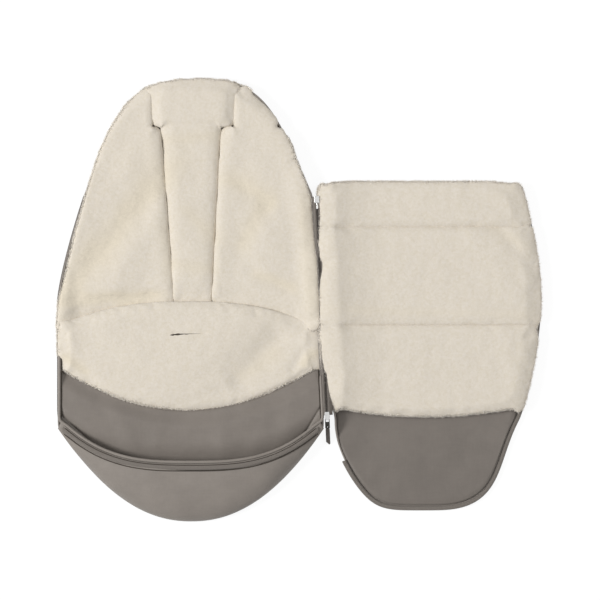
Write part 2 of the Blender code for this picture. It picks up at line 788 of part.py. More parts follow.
def make_zip_box():
    box = finish(box_object("zip_box", (BOX_WIDTH, BOX_LENGTH, BOX_THICK)), SILVER, 0.4, 0.6)
    bevel(box, CHAIN_BEVEL)
    along = ZIP_LENGTH - BOX_LENGTH / 2.0
    place_in_zip(box, along)
    bore = rod_object("zip_box_bore", PIN_RADIUS + PIN_CLEARANCE, BOX_LENGTH + 2.0 * OVERRUN, "X")
    finish(bore, SILVER, 0.4, collection=cutterCollection)
    place_in_zip(bore, along)
    boolean(box, bore)
    return box


def make_zip_pin():
    pin = finish(rod_object("zip_pin", PIN_RADIUS, PIN_LENGTH, "X"), SILVER, 0.35, 0.8)
    along = ZIP_LENGTH - PIN_TOP_GAP - PIN_LENGTH / 2.0
    place_in_zip(pin, along)
    reach = math.hypot(COVER_TAPE_REACH, COVER_TAPE_DROP) - SEAM_GAP
    tilt = math.atan2(COVER_TAPE_DROP, COVER_TAPE_REACH)
    size = (reach, PIN_PLATE_LENGTH, PIN_PLATE_THICK)
    web = finish(box_object("pin_plate_shape", size), SILVER, 0.4, collection=cutterCollection)
    low = ZIP_LENGTH - PIN_TOP_GAP - PIN_LENGTH + PIN_PLATE_LENGTH / 2.0 + SEAM_GAP
    turn = Matrix.Rotation(tilt, 4, "Y") @ Matrix.Translation((reach / 2.0, 0.0, 0.0))
    place_in_zip(web, low, turn)
    boolean(pin, web, "UNION")
    return pin


# The slider seen from above: a narrow neck, wide shoulders and a pointed foot
def slider_plan():
    neck = SLIDER_NECK_WIDTH / 2.0
    half_w = SLIDER_WIDTH / 2.0
    point = SLIDER_FOOT_WIDTH / 2.0
    top = SLIDER_LENGTH / 2.0
    shoulder = lerp(-top, top, SLIDER_SHOULDER_SHARE)
    outline = [
        (-neck, top + OVERRUN), (neck, top + OVERRUN), (neck, top), (half_w, shoulder), (point, -top),
        (point, -top - OVERRUN), (-point, -top - OVERRUN), (-point, -top), (-half_w, shoulder), (-neck, top),
    ]
    plan = plate("slider_plan_shape", [outline], SLIDER_THICK + 2.0 * OVERRUN)
    return finish(plan, SILVER, 0.35, collection=cutterCollection)


# The slider: a channel round the chain, open on the left for the base's tape, with a lug under it
def make_slider():
    half_w = SLIDER_WIDTH / 2.0
    half_t = SLIDER_THICK / 2.0
    in_w = CHAIN_HALF_WIDTH + CHANNEL_GAP
    in_t = CHAIN_HALF_THICK + CHANNEL_GAP
    slot = TAPE_SLOT_HEIGHT / 2.0
    cut = SLIDER_BEVEL
    outline = [
        (-half_w, slot), (-in_w, slot), (-in_w, in_t), (in_w, in_t), (in_w, -in_t), (-in_w, -in_t),
        (-in_w, -slot), (-half_w, -slot), (-half_w, cut - half_t), (cut - half_w, -half_t),
        (half_w - cut, -half_t), (half_w, cut - half_t), (half_w, half_t - cut), (half_w - cut, half_t),
        (cut - half_w, half_t), (-half_w, half_t - cut),
    ]
    slider = finish(plate("slider_body", [outline], SLIDER_LENGTH), SILVER, 0.35, 0.85)
    along = SLIDER_LENGTH / 2.0 - SLIDER_BELOW_FOOT
    stand = Matrix.Rotation(math.pi / 2.0, 4, "X")
    place_in_zip(slider, along, stand)
    plan = slider_plan()
    place_in_zip(plan, along)
    boolean(slider, plan, "INTERSECT")
    height = PIVOT_DROP + LUG_HOLE_RADIUS + LINK_THICK / 2.0 - half_t + CHANNEL_GAP
    lug = box_object("slider_lug_shape", (LUG_WIDTH, LUG_LENGTH, height))
    finish(lug, SILVER, 0.35, collection=cutterCollection)
    place_in_zip(lug, PIVOT_ALONG, Matrix.Translation((0.0, 0.0, CHANNEL_GAP - half_t - height / 2.0)))
    bore = rod_object("slider_lug_bore", LUG_HOLE_RADIUS, LUG_WIDTH + 2.0 * OVERRUN, "Y")
    finish(bore, SILVER, 0.35, collection=cutterCollection)
    place_in_zip(bore, PIVOT_ALONG, Matrix.Translation((0.0, 0.0, -PIVOT_DROP)))
    boolean(slider, lug, "UNION")
    boolean(slider, bore)
    return slider


PIVOT_ALONG = LUG_LENGTH / 2.0 - SLIDER_BELOW_FOOT + SLIDER_BEVEL
PULLER_REACH = LINK_LENGTH + SEAM_GAP + PULLER_LENGTH - LINK_BAR / 2.0
PULLER_TILT = math.asin((ZIP_HEIGHT - PIVOT_DROP - PULLER_FLOOR_GAP - PULLER_THICK / 2.0) / PULLER_REACH)


# Both puller pieces lie flat in a frame at the pivot, pointing along -Y and tilted down to the floor
def place_at_pivot(obj):
    turn = Matrix.Translation((0.0, 0.0, -PIVOT_DROP)) @ Matrix.Rotation(PULLER_TILT, 4, "X")
    return place_in_zip(obj, PIVOT_ALONG, turn)


def make_link():
    half = LINK_WIDTH / 2.0
    window = LINK_WINDOW_WIDTH / 2.0
    top = LINK_BAR / 2.0
    foot = top - LINK_LENGTH
    corner = LINK_BAR
    outer = [
        (-half, top), (-half, foot + corner), (corner - half, foot), (half - corner, foot),
        (half, foot + corner), (half, top),
    ]
    low = -top - LINK_WINDOW_LENGTH
    inner = [(-window, -top), (window, -top), (window, low), (-window, low)]
    hole_y = lerp(low, foot, LINK_HOLE_SHARE)
    ring = []
    for n in range(ROUND_STEPS // 2):
        angle = 4.0 * math.pi * n / ROUND_STEPS
        ring.append((LINK_HOLE_RADIUS * math.cos(angle), hole_y + LINK_HOLE_RADIUS * math.sin(angle)))
    link = finish(plate("puller_link", [outer, inner, ring], LINK_THICK), BLACK_METAL, 0.4, 0.7)
    return place_at_pivot(link)


def make_puller():
    half = PULLER_WIDTH / 2.0
    top = LINK_BAR / 2.0 - LINK_LENGTH - SEAM_GAP
    foot = top - PULLER_LENGTH
    cut = PULLER_WIDTH / 4.0
    outline = [
        (cut - half, top), (-half, top - cut), (-half, foot + PULLER_SLANT + cut),
        (-half, foot + PULLER_SLANT), (half - cut, foot), (half, foot + cut), (half, top - cut),
        (half - cut, top),
    ]
    puller = finish(plate("puller_tab", [outline], PULLER_THICK), DARK_NYLON, 0.6)
    return place_at_pivot(puller)


# Outline of the cover
def cover_left(y, inset=0.0):
    return zip_x(y) + COVER_GAP + inset


# The shell's edge draws in from the zip line at the cover's foot, where the free tape begins
def cover_shell_left(y, inset=0.0):
    return cover_left(y, inset + COVER_TAPE_INSET * clamp(1.0 - (y - COVER_CORNER_Y) / COVER_CORNER_RUN))


def cover_right(y, inset=0.0):
    reach = abs(y) / COVER_TOP_Y
    return COVER_FAR_X - COVER_BULGE * reach**COVER_BULGE_POWER - inset


# Height of the cover's wall: full beside the zip, low round the rest
def cover_wall(x, y):
    away = x - cover_left(y)
    below = (COVER_CORNER_Y - y) / COVER_WALL_FADE
    near = 1.0 - smooth(max((away - COVER_WALL_HOLD) / COVER_WALL_FADE, below))
    return lerp(COVER_WALL_HEIGHT, WALL_HEIGHT, near)


def cover_swell(x, y):
    near = clamp(1.0 - (x - cover_left(y)) / SWELL_WIDTH)
    return SWELL_HEIGHT * near * near


COVER_FLEECE_LOW = WADDING_LOW + COVER_WADDING_THICK + LAYER_GAP


# A stretch of the cover between two heights; the lowest one ends in the rounded foot
def cover_patch(low_y, high_y, left, right, foot_bow, foot_power, top_bow):
    low_ends = (left(low_y), right(low_y))
    high_ends = (left(high_y), right(high_y))

    def side(edge):
        return lambda v: Vector((edge(lerp(low_y, high_y, v)), lerp(low_y, high_y, v)))

    def low(u):
        share = abs(2.0 * u - 1.0)
        return Vector((lerp(*low_ends, u), low_y - foot_bow * (1.0 - share**foot_power)))

    def high(u):
        share = abs(2.0 * u - 1.0)
        return Vector((lerp(*high_ends, u), high_y + top_bow * (1.0 - share**COVER_TOP_POWER)))

    return patch(low, high, side(left), side(right))


def cover_shell_patch(inset, lift):
    return cover_patch(
        COVER_CORNER_Y + lift,
        COVER_TOP_Y - COVER_TOP_BOW - lift,
        lambda y: cover_shell_left(y, inset),
        lambda y: cover_right(y, COVER_TAPE_INSET + inset),
        COVER_FOOT_BOW - COVER_TAPE_INSET - inset,
        COVER_FOOT_POWER,
        COVER_TOP_BOW - inset,
    )


COVER_ACROSS_SHARES = (0.0, 0.03, 0.07, 0.12, 0.2, 0.3, 0.5, 0.7, 0.8, 0.88, 0.93, 0.97, 1.0)


def make_cover_shell():
    corner = COVER_CORNER_RUN / (COVER_TOP_Y - COVER_TOP_BOW - COVER_CORNER_Y)
    along = [0.0] + [lerp(corner, 1.0, n / 7.0) for n in range(8)]

    def place_at(inset):
        return cover_shell_patch(inset, 0.0)

    return tray("cover_outer_shell", place_at, cover_wall, COVER_ACROSS_SHARES, along, TAUPE, 0.7)


def make_cover_wadding():
    place = cover_shell_patch(WADDING_INSET, SEAM_GAP)
    across = COVER_ACROSS_SHARES
    along = [n / 4.0 for n in range(5)]
    return flat_layer(
        "cover_wadding", place, WADDING_LOW, COVER_WADDING_THICK, across, along, WHITE_FILL, 0.95
    )


def make_cover_fleece(name, low_y, high_y, foot_bow, top_bow):
    place = cover_patch(
        low_y,
        high_y,
        lambda y: cover_shell_left(y, FLEECE_INSET),
        lambda y: cover_right(y, COVER_TAPE_INSET + FLEECE_INSET),
        foot_bow,
        2.0,
        top_bow,
    )
    width = COVER_FAR_X - ZIP_FOOT_X
    length = high_y - low_y + foot_bow + top_bow

    def point(u, v, w, ring):
        x, y = place(u, v)
        thick = FLEECE_THICK + cover_swell(x, y)
        return Vector((x, y, COVER_FLEECE_LOW + w * thick * crown(u, v, width, length)))

    across = stations(width, SWELL_WIDTH, 5, 5)
    along = stations(length, PAD_EDGE_RADIUS, 3, 3)
    return slab(name, point, across, along, CREAM, 0.95)


def make_cover_lining():
    inset = FLEECE_INSET + CURVED_SEAM_GAP
    place = cover_patch(
        COVER_CORNER_Y,
        COVER_FLEECE_FOOT_Y - CURVED_SEAM_GAP,
        lambda y: cover_shell_left(y, inset),
        lambda y: cover_right(y, COVER_TAPE_INSET + inset),
        COVER_FOOT_BOW - COVER_TAPE_INSET - inset,
        COVER_FOOT_POWER,
        0.0,
    )

    def point(u, v, w, ring):
        x, y = place(u, v)
        share = abs(2.0 * u - 1.0)
        bow = v * COVER_FLEECE_BOW * (1.0 - share**2)
        return Vector((x, y - bow, COVER_FLEECE_LOW + w * LINING_THICK))

    along = [0.0, 0.35, 0.7, 1.0]
    return slab("cover_foot_lining", point, COVER_ACROSS_SHARES, along, TAUPE_LINING, 0.6)


COVER_FOOT_SHARE = 0.6
FREE_TAPE_START_SHARE = 0.045


# The cover's own zip tape: a hinge-side strip, and a strip round the foot and up the far side
def make_cover_hinge_tape():
    rise = COVER_GAP - COVER_TAPE_REACH

    def point(u, v, w, ring):
        along = lerp(0.0, ZIP_LENGTH - PIN_TOP_GAP, v)
        offset = (COVER_TAPE_REACH, COVER_GAP + rise, COVER_GAP + TAPE_SEAM_WIDTH)[round(u * 2.0)]
        place = zip_place(offset, along, (w - 0.5) * TAPE_THICK - COVER_TAPE_DROP)
        if offset > COVER_TAPE_REACH:
            place.z = WALL_HEIGHT + SEAM_GAP + w * TAPE_THICK
        return place

    along = [n / 10.0 for n in range(11)]
    return slab("cover_zip_tape_hinge", point, [0.0, 0.5, 1.0], along, TAUPE_TAPE, 0.8)


def cover_border(share, inset):
    turn = COVER_FOOT_SHARE
    if share < turn:
        u = share / turn
        side = abs(2.0 * u - 1.0)
        left = cover_left(COVER_CORNER_Y, inset)
        right = cover_right(COVER_CORNER_Y, inset)
        bow = (COVER_FOOT_BOW - inset) * (1.0 - side**COVER_FOOT_POWER)
        return Vector((lerp(left, right, u), COVER_CORNER_Y - bow))
    y = lerp(COVER_CORNER_Y, COVER_TOP_Y - 2.0 * COVER_TOP_BOW, (share - turn) / (1.0 - turn))
    return Vector((cover_right(y, inset), y))


def make_cover_free_tape():
    def point(u, v, w, ring):
        place = cover_border(lerp(FREE_TAPE_START_SHARE, 1.0, v), u * (COVER_TAPE_INSET + SHELL_THICK))
        level = cover_wall(place.x, place.y) + SEAM_GAP
        return Vector((place.x, place.y, level + w * TAPE_THICK))

    along = [n / 44.0 for n in range(45)]
    return slab("cover_zip_tape_free", point, [0.0, 1.0], along, TAUPE_TAPE, 0.8)


def make_cover_coil():
    steps = 44
    points = []
    for n in range(steps + 1):
        place = cover_border(lerp(FREE_TAPE_START_SHARE, 1.0, n / steps), 2.0 * COIL_RADIUS)
        level = cover_wall(place.x, place.y) - COIL_RADIUS
        points.append(Vector((place.x, place.y, level)))
    return tube("cover_zip_coil", points, COIL_RADIUS, DARK_NYLON, 0.5)


# A straight slot with round ends, from foot to head, as a closed prism between two heights
def slot_prism(name, foot, head, width, low, high):
    bm = bmesh.new()
    length = (head - foot).length
    turn = math.atan2(head.y - foot.y, head.x - foot.x)
    step = Matrix.Rotation(math.pi / ROUND_STEPS, 4, "Z")
    bmesh.ops.create_circle(bm, cap_ends=True, radius=width / 2.0, segments=ROUND_STEPS, matrix=step)
    for vert in bm.verts:
        vert.co.x += math.copysign((length - width) / 2.0, vert.co.x)
        vert.co.z = low
    raised = bmesh.ops.extrude_face_region(bm, geom=bm.faces[:])
    upper = [item for item in raised["geom"] if isinstance(item, bmesh.types.BMVert)]
    bmesh.ops.translate(bm, verts=upper, vec=(0.0, 0.0, high - low))
    bmesh.ops.recalc_face_normals(bm, faces=bm.faces[:])
    middle = (foot + head) / 2.0
    bm.transform(Matrix.Translation((middle.x, middle.y, 0.0)) @ Matrix.Rotation(turn, 4, "Z"))
    mesh = bpy.data.meshes.new(name)
    bm.to_mesh(mesh)
    bm.free()
    return bpy.data.objects.new(name, mesh)


def make_slot_binding(name, foot, head, height):
    outer_width = SLOT_WIDTH - 2.0 * SEAM_GAP
    inner_width = outer_width - 2.0 * BINDING_THICK
    along = (head - foot).normalized()
    outer = slot_prism(name, foot + along * SEAM_GAP, head - along * SEAM_GAP, outer_width, SEAM_GAP, height)
    finish(outer, TAUPE_LINING, 0.7)
    draw_in = along * (SEAM_GAP + BINDING_THICK)
    top = height + OVERRUN
    inner = slot_prism(name + "_bore", foot + draw_in, head - draw_in, inner_width, -OVERRUN, top)
    finish(inner, TAUPE_LINING, 0.7, collection=cutterCollection)
    boolean(outer, inner)
    return outer


def slot_ends(side):
    foot = Vector((slit_x(side, SLIT_FOOT_Y), SLIT_FOOT_Y))
    head_y = SLIT_TOP_Y - SLOT_END_GAP
    return foot, Vector((slit_x(side, head_y), head_y))


def cut_slots(shell, wadding, cushion):
    top = FLEECE_LOW + FLEECE_THICK + CUSHION_EXTRA + OVERRUN
    half = Vector((CROTCH_SLOT_LENGTH / 2.0, 0.0))
    middle = Vector((CROTCH_SLOT_X, CROTCH_SLOT_Y))
    slots = {
        "left_harness_slot": slot_ends(-1),
        "right_harness_slot": slot_ends(1),
        "crotch_slot": (middle - half, middle + half),
    }
    for name, (foot, head) in slots.items():
        cutter = slot_prism(name + "_cut", foot, head, SLOT_WIDTH, -OVERRUN, top)
        finish(cutter, TAUPE, 0.7, collection=cutterCollection)
        boolean(shell, cutter)
        boolean(wadding, cutter)
        if name == "crotch_slot":
            boolean(cushion, cutter)
        make_slot_binding(name + "_binding", foot, head, WADDING_TOP)


def axis_empty(name, along, height, children):
    empty = bpy.data.objects.new(name, None)
    partCollection.objects.link(empty)
    place_in_zip(empty, along, Matrix.Translation((0.0, 0.0, height)))
    bpy.context.view_layer.update()
    for child in children:
        place = child.matrix_world.copy()
        child.parent = empty
        child.matrix_parent_inverse = empty.matrix_world.inverted()
        child.matrix_world = place
    return empty


def build_base():
    shell = make_base_shell()
    wadding = make_back_wadding()
    make_wing("left_wing_fleece", -1)
    make_wing("right_wing_fleece", 1)
    make_centre_panel()
    cushion = make_seat_cushion()
    make_foot_lining()
    cut_slots(shell, wadding, cushion)
    layer_two = TOE_PANEL_THICK + LAYER_GAP
    layer_three = layer_two + TOE_WADDING_THICK + LAYER_GAP
    make_toe_layer("toe_panel", 0.0, TOE_PANEL_THICK, TAUPE, 0.7)
    make_toe_layer("toe_wadding", layer_two, TOE_WADDING_THICK, WHITE_FILL, 0.95)
    make_toe_layer("toe_lining", layer_three, LINING_THICK, TAUPE_LINING, 0.6)
    make_rim_piping()


def build_base_zip():
    make_closed_tape()
    make_toe_tape()
    make_left_tape()
    make_toe_coil()
    make_left_coil()
    make_chain()
    make_zip_box()


def build_cover():
    top_y = COVER_TOP_Y - COVER_TOP_BOW - FLEECE_INSET
    upper = (COVER_UPPER_SEAM_Y - SEAM_GAP, COVER_UPPER_SEAM_Y + SEAM_GAP)
    lower = (COVER_LOWER_SEAM_Y - SEAM_GAP, COVER_LOWER_SEAM_Y + SEAM_GAP)
    foot = COVER_FLEECE_FOOT_Y + SEAM_GAP
    pieces = [
        make_cover_shell(),
        make_cover_wadding(),
        make_cover_fleece("cover_fleece_top", upper[1], top_y, 0.0, COVER_TOP_BOW),
        make_cover_fleece("cover_fleece_middle", lower[1], upper[0], 0.0, 0.0),
        make_cover_fleece("cover_fleece_lower", foot, lower[0], COVER_FLEECE_BOW, 0.0),
        make_cover_lining(),
        make_cover_hinge_tape(),
        make_cover_free_tape(),
        make_cover_coil(),
        make_zip_pin(),
    ]
    axis_empty("cover_fold_axis", ZIP_LENGTH / 2.0, 0.0, pieces)


def build_slider():
    slider = make_slider()
    axis_empty("slider_rest", 0.0, 0.0, [slider])
    axis_empty("puller_pivot", PIVOT_ALONG, -PIVOT_DROP, [make_link(), make_puller()])


build_base()
build_base_zip()
build_cover()
build_slider()
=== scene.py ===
# Stroller footmuff laid open: the padded base on the left, its front cover unzipped and turned out to the right.
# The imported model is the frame; everything here is dressed onto it, in metres.

import json
import math
from functools import partial

import bmesh
import bpy
import numpy as np
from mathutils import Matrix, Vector, noise

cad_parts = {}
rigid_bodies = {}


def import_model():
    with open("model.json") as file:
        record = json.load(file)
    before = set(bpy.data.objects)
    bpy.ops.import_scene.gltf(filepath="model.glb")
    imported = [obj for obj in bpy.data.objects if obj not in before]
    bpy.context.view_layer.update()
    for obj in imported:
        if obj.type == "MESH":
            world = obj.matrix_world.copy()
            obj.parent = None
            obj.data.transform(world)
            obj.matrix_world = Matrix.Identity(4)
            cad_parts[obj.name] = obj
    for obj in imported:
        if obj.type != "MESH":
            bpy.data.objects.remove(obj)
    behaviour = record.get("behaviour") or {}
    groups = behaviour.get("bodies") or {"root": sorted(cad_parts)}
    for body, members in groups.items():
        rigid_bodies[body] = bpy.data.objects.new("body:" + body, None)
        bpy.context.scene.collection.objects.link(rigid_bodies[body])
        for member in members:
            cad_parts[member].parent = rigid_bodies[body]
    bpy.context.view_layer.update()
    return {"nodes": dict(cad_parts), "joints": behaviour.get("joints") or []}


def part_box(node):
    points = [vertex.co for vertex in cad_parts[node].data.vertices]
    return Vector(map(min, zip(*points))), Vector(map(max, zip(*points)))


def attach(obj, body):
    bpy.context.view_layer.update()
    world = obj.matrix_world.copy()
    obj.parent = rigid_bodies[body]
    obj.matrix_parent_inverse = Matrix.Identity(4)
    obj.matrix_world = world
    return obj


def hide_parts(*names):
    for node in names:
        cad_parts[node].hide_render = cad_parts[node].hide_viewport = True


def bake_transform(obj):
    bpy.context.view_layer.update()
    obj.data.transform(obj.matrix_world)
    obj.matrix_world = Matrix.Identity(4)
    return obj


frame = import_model()
nodes = frame["nodes"]
upward = Vector((0.0, 0.0, 1.0))
print("frame loaded:", len(nodes), "nodes")

for old in [o for o in bpy.data.objects if o.name in ("Cube", "Light", "Camera")]:
    bpy.data.objects.remove(old, do_unlink=True)


def lerp(a, b, share):
    return a + (b - a) * share


def clamp(share, low=0.0, high=1.0):
    return min(high, max(low, share))


def smooth(share):
    s = clamp(share)
    return s * s * (3.0 - 2.0 * s)


def bell(distance, width):
    return math.exp(-((distance / width) ** 2))


# a value read off a table of rows that start with their place, straight between them
def read(table, at, column=1):
    return float(np.interp(at, [row[0] for row in table], [row[column] for row in table]))


# soft uneven swing between -1 and 1, repeatable
def wander(x, y, z, size, seed=0.0):
    return noise.noise(Vector((x / size + seed, y / size - 2.0 * seed, z / size + 0.37 * seed)))


# signed distance to the line from a to b (left of it is positive), and the share along it
def beside(x, y, a, b):
    dx, dy = b[0] - a[0], b[1] - a[1]
    length = math.hypot(dx, dy)
    along = ((x - a[0]) * dx + (y - a[1]) * dy) / (length * length)
    off = ((x - a[0]) * -dy + (y - a[1]) * dx) / length
    return off, along


class Wired:
    def __init__(self, graph, socket):
        self.graph = graph
        self.socket = socket

    def __add__(self, other):
        return self.graph.node("ShaderNodeMath", {"operation": "ADD"}, {0: self, 1: other})

    def __mul__(self, other):
        return self.graph.node("ShaderNodeMath", {"operation": "MULTIPLY"}, {0: self, 1: other})


class Graph:
    def __init__(self, name, **fixed):
        self.material = bpy.data.materials.new(name)
        self.material.use_nodes = True
        self.tree = self.material.node_tree
        self.shader = self.tree.nodes["Principled BSDF"]
        for key, value in fixed.items():
            self.shader.inputs[key.replace("_", " ")].default_value = value

    def node(self, kind, settings, values, output=0):
        made = self.tree.nodes.new(kind)
        for key, value in settings.items():
            setattr(made, key, value)
        for key, value in values.items():
            if isinstance(value, Wired):
                self.tree.links.new(value.socket, made.inputs[key])
            else:
                made.inputs[key].default_value = value
        return Wired(self, made.outputs[output])

    def place(self, kind="Object"):
        return self.node("ShaderNodeTexCoord", {}, {}, kind)

    def noise(self, where, scale, detail=2.0, rough=0.5, stretch=None):
        if stretch:
            where = self.node("ShaderNodeMapping", {}, {"Vector": where, "Scale": stretch})
        values = {"Vector": where, "Scale": scale, "Detail": detail, "Roughness": rough}
        return self.node("ShaderNodeTexNoise", {}, values, "Fac")

    def split(self, where):
        parts = self.node("ShaderNodeSeparateXYZ", {}, {0: where}).socket.node.outputs
        return [Wired(self, part) for part in parts]

    def wave(self, value, pitch):
        return self.node("ShaderNodeMath", {"operation": "SINE"}, {0: value * (2.0 * math.pi / pitch)})

    def fit(self, value, low, high, outLow=0.0, outHigh=1.0):
        values = {"Value": value, "From Min": low, "From Max": high, "To Min": outLow, "To Max": outHigh}
        return self.node("ShaderNodeMapRange", {}, values, "Result")

    def mix(self, share, a, b):
        return self.node("ShaderNodeMix", {"data_type": "RGBA"}, {0: share, 6: a, 7: b}, 2)

    # a finish's colour, swinging between two shares of its brightness
    def shades(self, share, finish, low, high):
        return self.mix(share, tone(finish, low), tone(finish, high))

    def feed(self, name, value):
        self.tree.links.new(value.socket, self.shader.inputs[name])

    def bump(self, height, distance, strength=1.0):
        values = {"Height": height, "Distance": distance, "Strength": strength}
        self.feed("Normal", self.node("ShaderNodeBump", {}, values, "Normal"))
        return self.material


def tone(finish, factor):
    return (*[clamp(c * factor) for c in finishes[finish]], 1.0)


finishes = {
    "fleece": (0.655, 0.602, 0.530),
    # warmer tone of the pile: for its random patches, and painted shade in fold valleys
    "fleeceWarm": (0.650, 0.584, 0.472),
    # painted shade: the dark the pile is painted towards along seams, slits and slots, for the shade in their creases
    "fleeceSeamShade": (0.300, 0.235, 0.160),
    "shell": (0.232, 0.206, 0.182),
    "lining": (0.192, 0.169, 0.148),
    # painted shade: the lining's colour darkened for the cover's lining, the same cloth lying in more shade
    "coverLining": (0.166, 0.146, 0.128),
    # painted light: the tips' colour, lighter than the pile's
    "fleeceTips": (0.860, 0.800, 0.710),
    "tape": (0.190, 0.168, 0.148),
    # painted shade: the colour of the dark cords that stand in for the shade in creases
    "crease": (0.062, 0.052, 0.043),
    "teeth": (0.046, 0.039, 0.033),
    "thread": (0.165, 0.142, 0.122),
    "silver": (0.800, 0.800, 0.790),
    "blackMetal": (0.070, 0.069, 0.062),
    "puller": (0.106, 0.092, 0.081),
}


# painted light: the fraying tips are coloured lighter than the pile, for the light that passes through real tips and
# keeps them out of shade
def litTipMaterial():
    g = Graph("fleeceTips", Roughness=0.95, Sheen_Weight=0.4, Sheen_Roughness=0.6, Specular_IOR_Level=0.1)
    strands = g.noise(g.place(), 620.0, 3.0, 0.7)
    g.feed("Base Color", g.shades(strands, "fleeceTips", 0.92, 1.06))
    return g.bump(strands, 0.0004, 0.4)


def fleeceMaterial():
    g = Graph("fleecePile", Roughness=0.95, Sheen_Weight=0.3, Sheen_Roughness=0.6, Specular_IOR_Level=0.1)
    where = g.place()
    patches = g.noise(where, 9.0, 3.0, 0.55)
    clumps = g.noise(where, 170.0, 2.0, 0.6)
    strands = g.noise(where, 620.0, 3.0, 0.7)
    crinkle = g.noise(where, 78.0, 2.0, 0.55, (1.0, 2.6, 1.0))
    seam = g.node("ShaderNodeAttribute", {"attribute_name": "seam"}, {}, "Fac")
    valley = g.node("ShaderNodeAttribute", {"attribute_name": "valley"}, {}, "Fac")
    # painted shade: the pile turns warmer in fold valleys, by the 'valley' attribute, mixed with random warmer patches
    # and clumps
    warm = g.fit(patches * 0.45 + clumps * 0.2 + valley * 0.75, 0.36, 1.05)
    colour = g.mix(warm, tone("fleece", 1.0), tone("fleeceWarm", 1.0))
    shade = g.fit(strands * 0.6 + clumps * 0.4, 0.36, 0.60)
    pileColour = g.mix(shade, tone("fleeceWarm", 0.90), colour)
    # painted shade: near borders where pieces meet, by the 'seam' attribute, the pile is painted towards the dark seam
    # colour, broken up by the clumps
    shadedSeam = seam * g.fit(clumps, 0.25, 0.55, 0.35, 1.0)
    g.feed("Base Color", g.mix(shadedSeam, pileColour, tone("fleeceSeamShade", 1.0)))
    creased = crinkle * g.fit(patches * 0.4 + valley * 0.8, 0.30, 0.95, 0.12, 1.0)
    return g.bump(strands * 0.45 + clumps * 0.60 + creased * 1.9, 0.0012, 0.6)


# plain woven cloth: fine over-and-under threads along the piece's own map, with faint slubs
def wovenMaterial(name, finish, pitch, rough, depth, sheen):
    g = Graph(name, Roughness=rough, Sheen_Weight=sheen, Sheen_Roughness=0.4, Specular_IOR_Level=0.35)
    u, v, w = g.split(g.place("UV"))
    where = g.place()
    weave = g.wave(u, pitch) * g.wave(v, pitch)
    slub = g.noise(where, 260.0, 2.0, 0.6, (1.0, 0.18, 1.0)) + g.noise(where, 260.0, 2.0, 0.6, (0.18, 1.0, 1.0))
    cloud = g.noise(where, 14.0, 3.0, 0.55)
    tint = g.fit(cloud * 0.6 + slub * 0.2, 0.38, 0.62)
    cloth = g.shades(tint, finish, 0.93, 1.07)
    g.feed("Base Color", g.mix(g.fit(weave, -1.0, 1.0, 0.0, 0.22), cloth, tone(finish, 0.72)))
    g.feed("Roughness", g.fit(cloud, 0.3, 0.7, rough - 0.06, rough + 0.06))
    return g.bump(weave * 0.5 + slub * 0.35, depth, 0.6)


# painted shade: a dark cloth colour for cords laid in creases and seams, where they stand in for the shade there
def creaseShadeMaterial():
    g = Graph("deepCrease", Roughness=0.95, Specular_IOR_Level=0.05)
    twist = g.noise(g.place(), 700.0, 2.0)
    g.feed("Base Color", g.shades(twist, "crease", 0.8, 1.3))
    return g.bump(twist, 0.0002, 0.5)


def herringboneMaterial():
    g = Graph("herringboneTape", Roughness=0.72, Sheen_Weight=0.12, Specular_IOR_Level=0.3)
    u, v, w = g.split(g.place("UV"))
    column = g.node("ShaderNodeMath", {"operation": "PINGPONG"}, {0: v, 1: 0.0024})
    ribs = g.wave(u + column * 1.6, 0.0017)
    threads = g.wave(v, 0.0006)
    fuzz = g.noise(g.place(), 300.0, 2.0)
    shade = g.fit(ribs + fuzz * 0.6, -0.8, 1.4)
    g.feed("Base Color", g.shades(shade, "tape", 0.74, 1.16))
    return g.bump(ribs * 0.7 + threads * 0.15, 0.00022, 0.8)


def teethMaterial():
    g = Graph("zipNylon", Roughness=0.6, Specular_IOR_Level=0.3)
    spread = g.noise(g.place(), 180.0, 2.0)
    g.feed("Base Color", g.shades(spread, "teeth", 0.8, 1.35))
    g.feed("Roughness", g.fit(spread, 0.3, 0.7, 0.55, 0.7))
    return g.bump(g.noise(g.place(), 900.0, 1.0), 0.00005, 0.5)


def threadMaterial():
    g = Graph("taupeThread", Roughness=0.6, Sheen_Weight=0.2)
    twist = g.noise(g.place(), 1500.0, 1.0)
    g.feed("Base Color", g.shades(twist, "thread", 0.8, 1.25))
    return g.bump(twist, 0.0001, 0.6)


def metalMaterial(name, finish, rough):
    g = Graph(name, Metallic=0.6, Roughness=rough)
    marks = g.noise(g.place(), 500.0, 3.0, 0.6, (1.0, 0.08, 1.0))
    wear = g.noise(g.place(), 160.0, 3.0)
    g.feed("Base Color", g.shades(g.fit(wear, 0.4, 0.7), finish, 1.0, 0.86))
    g.feed("Roughness", g.fit(marks + wear * 0.5, 0.5, 1.0, rough - 0.05, rough + 0.12))
    return g.bump(marks, 0.00003, 0.5)


def pullerMaterial():
    g = Graph("pullerTab", Roughness=0.55, Specular_IOR_Level=0.35)
    where = g.place()
    grain = g.node("ShaderNodeTexVoronoi", {}, {"Vector": where, "Scale": 1400.0}, "Distance")
    wear = g.noise(where, 220.0, 3.0)
    g.feed("Base Color", g.shades(g.fit(wear, 0.35, 0.7), "puller", 0.9, 1.2))
    g.feed("Roughness", g.fit(wear, 0.3, 0.7, 0.48, 0.62))
    return g.bump(grain, 0.00012, 0.6)


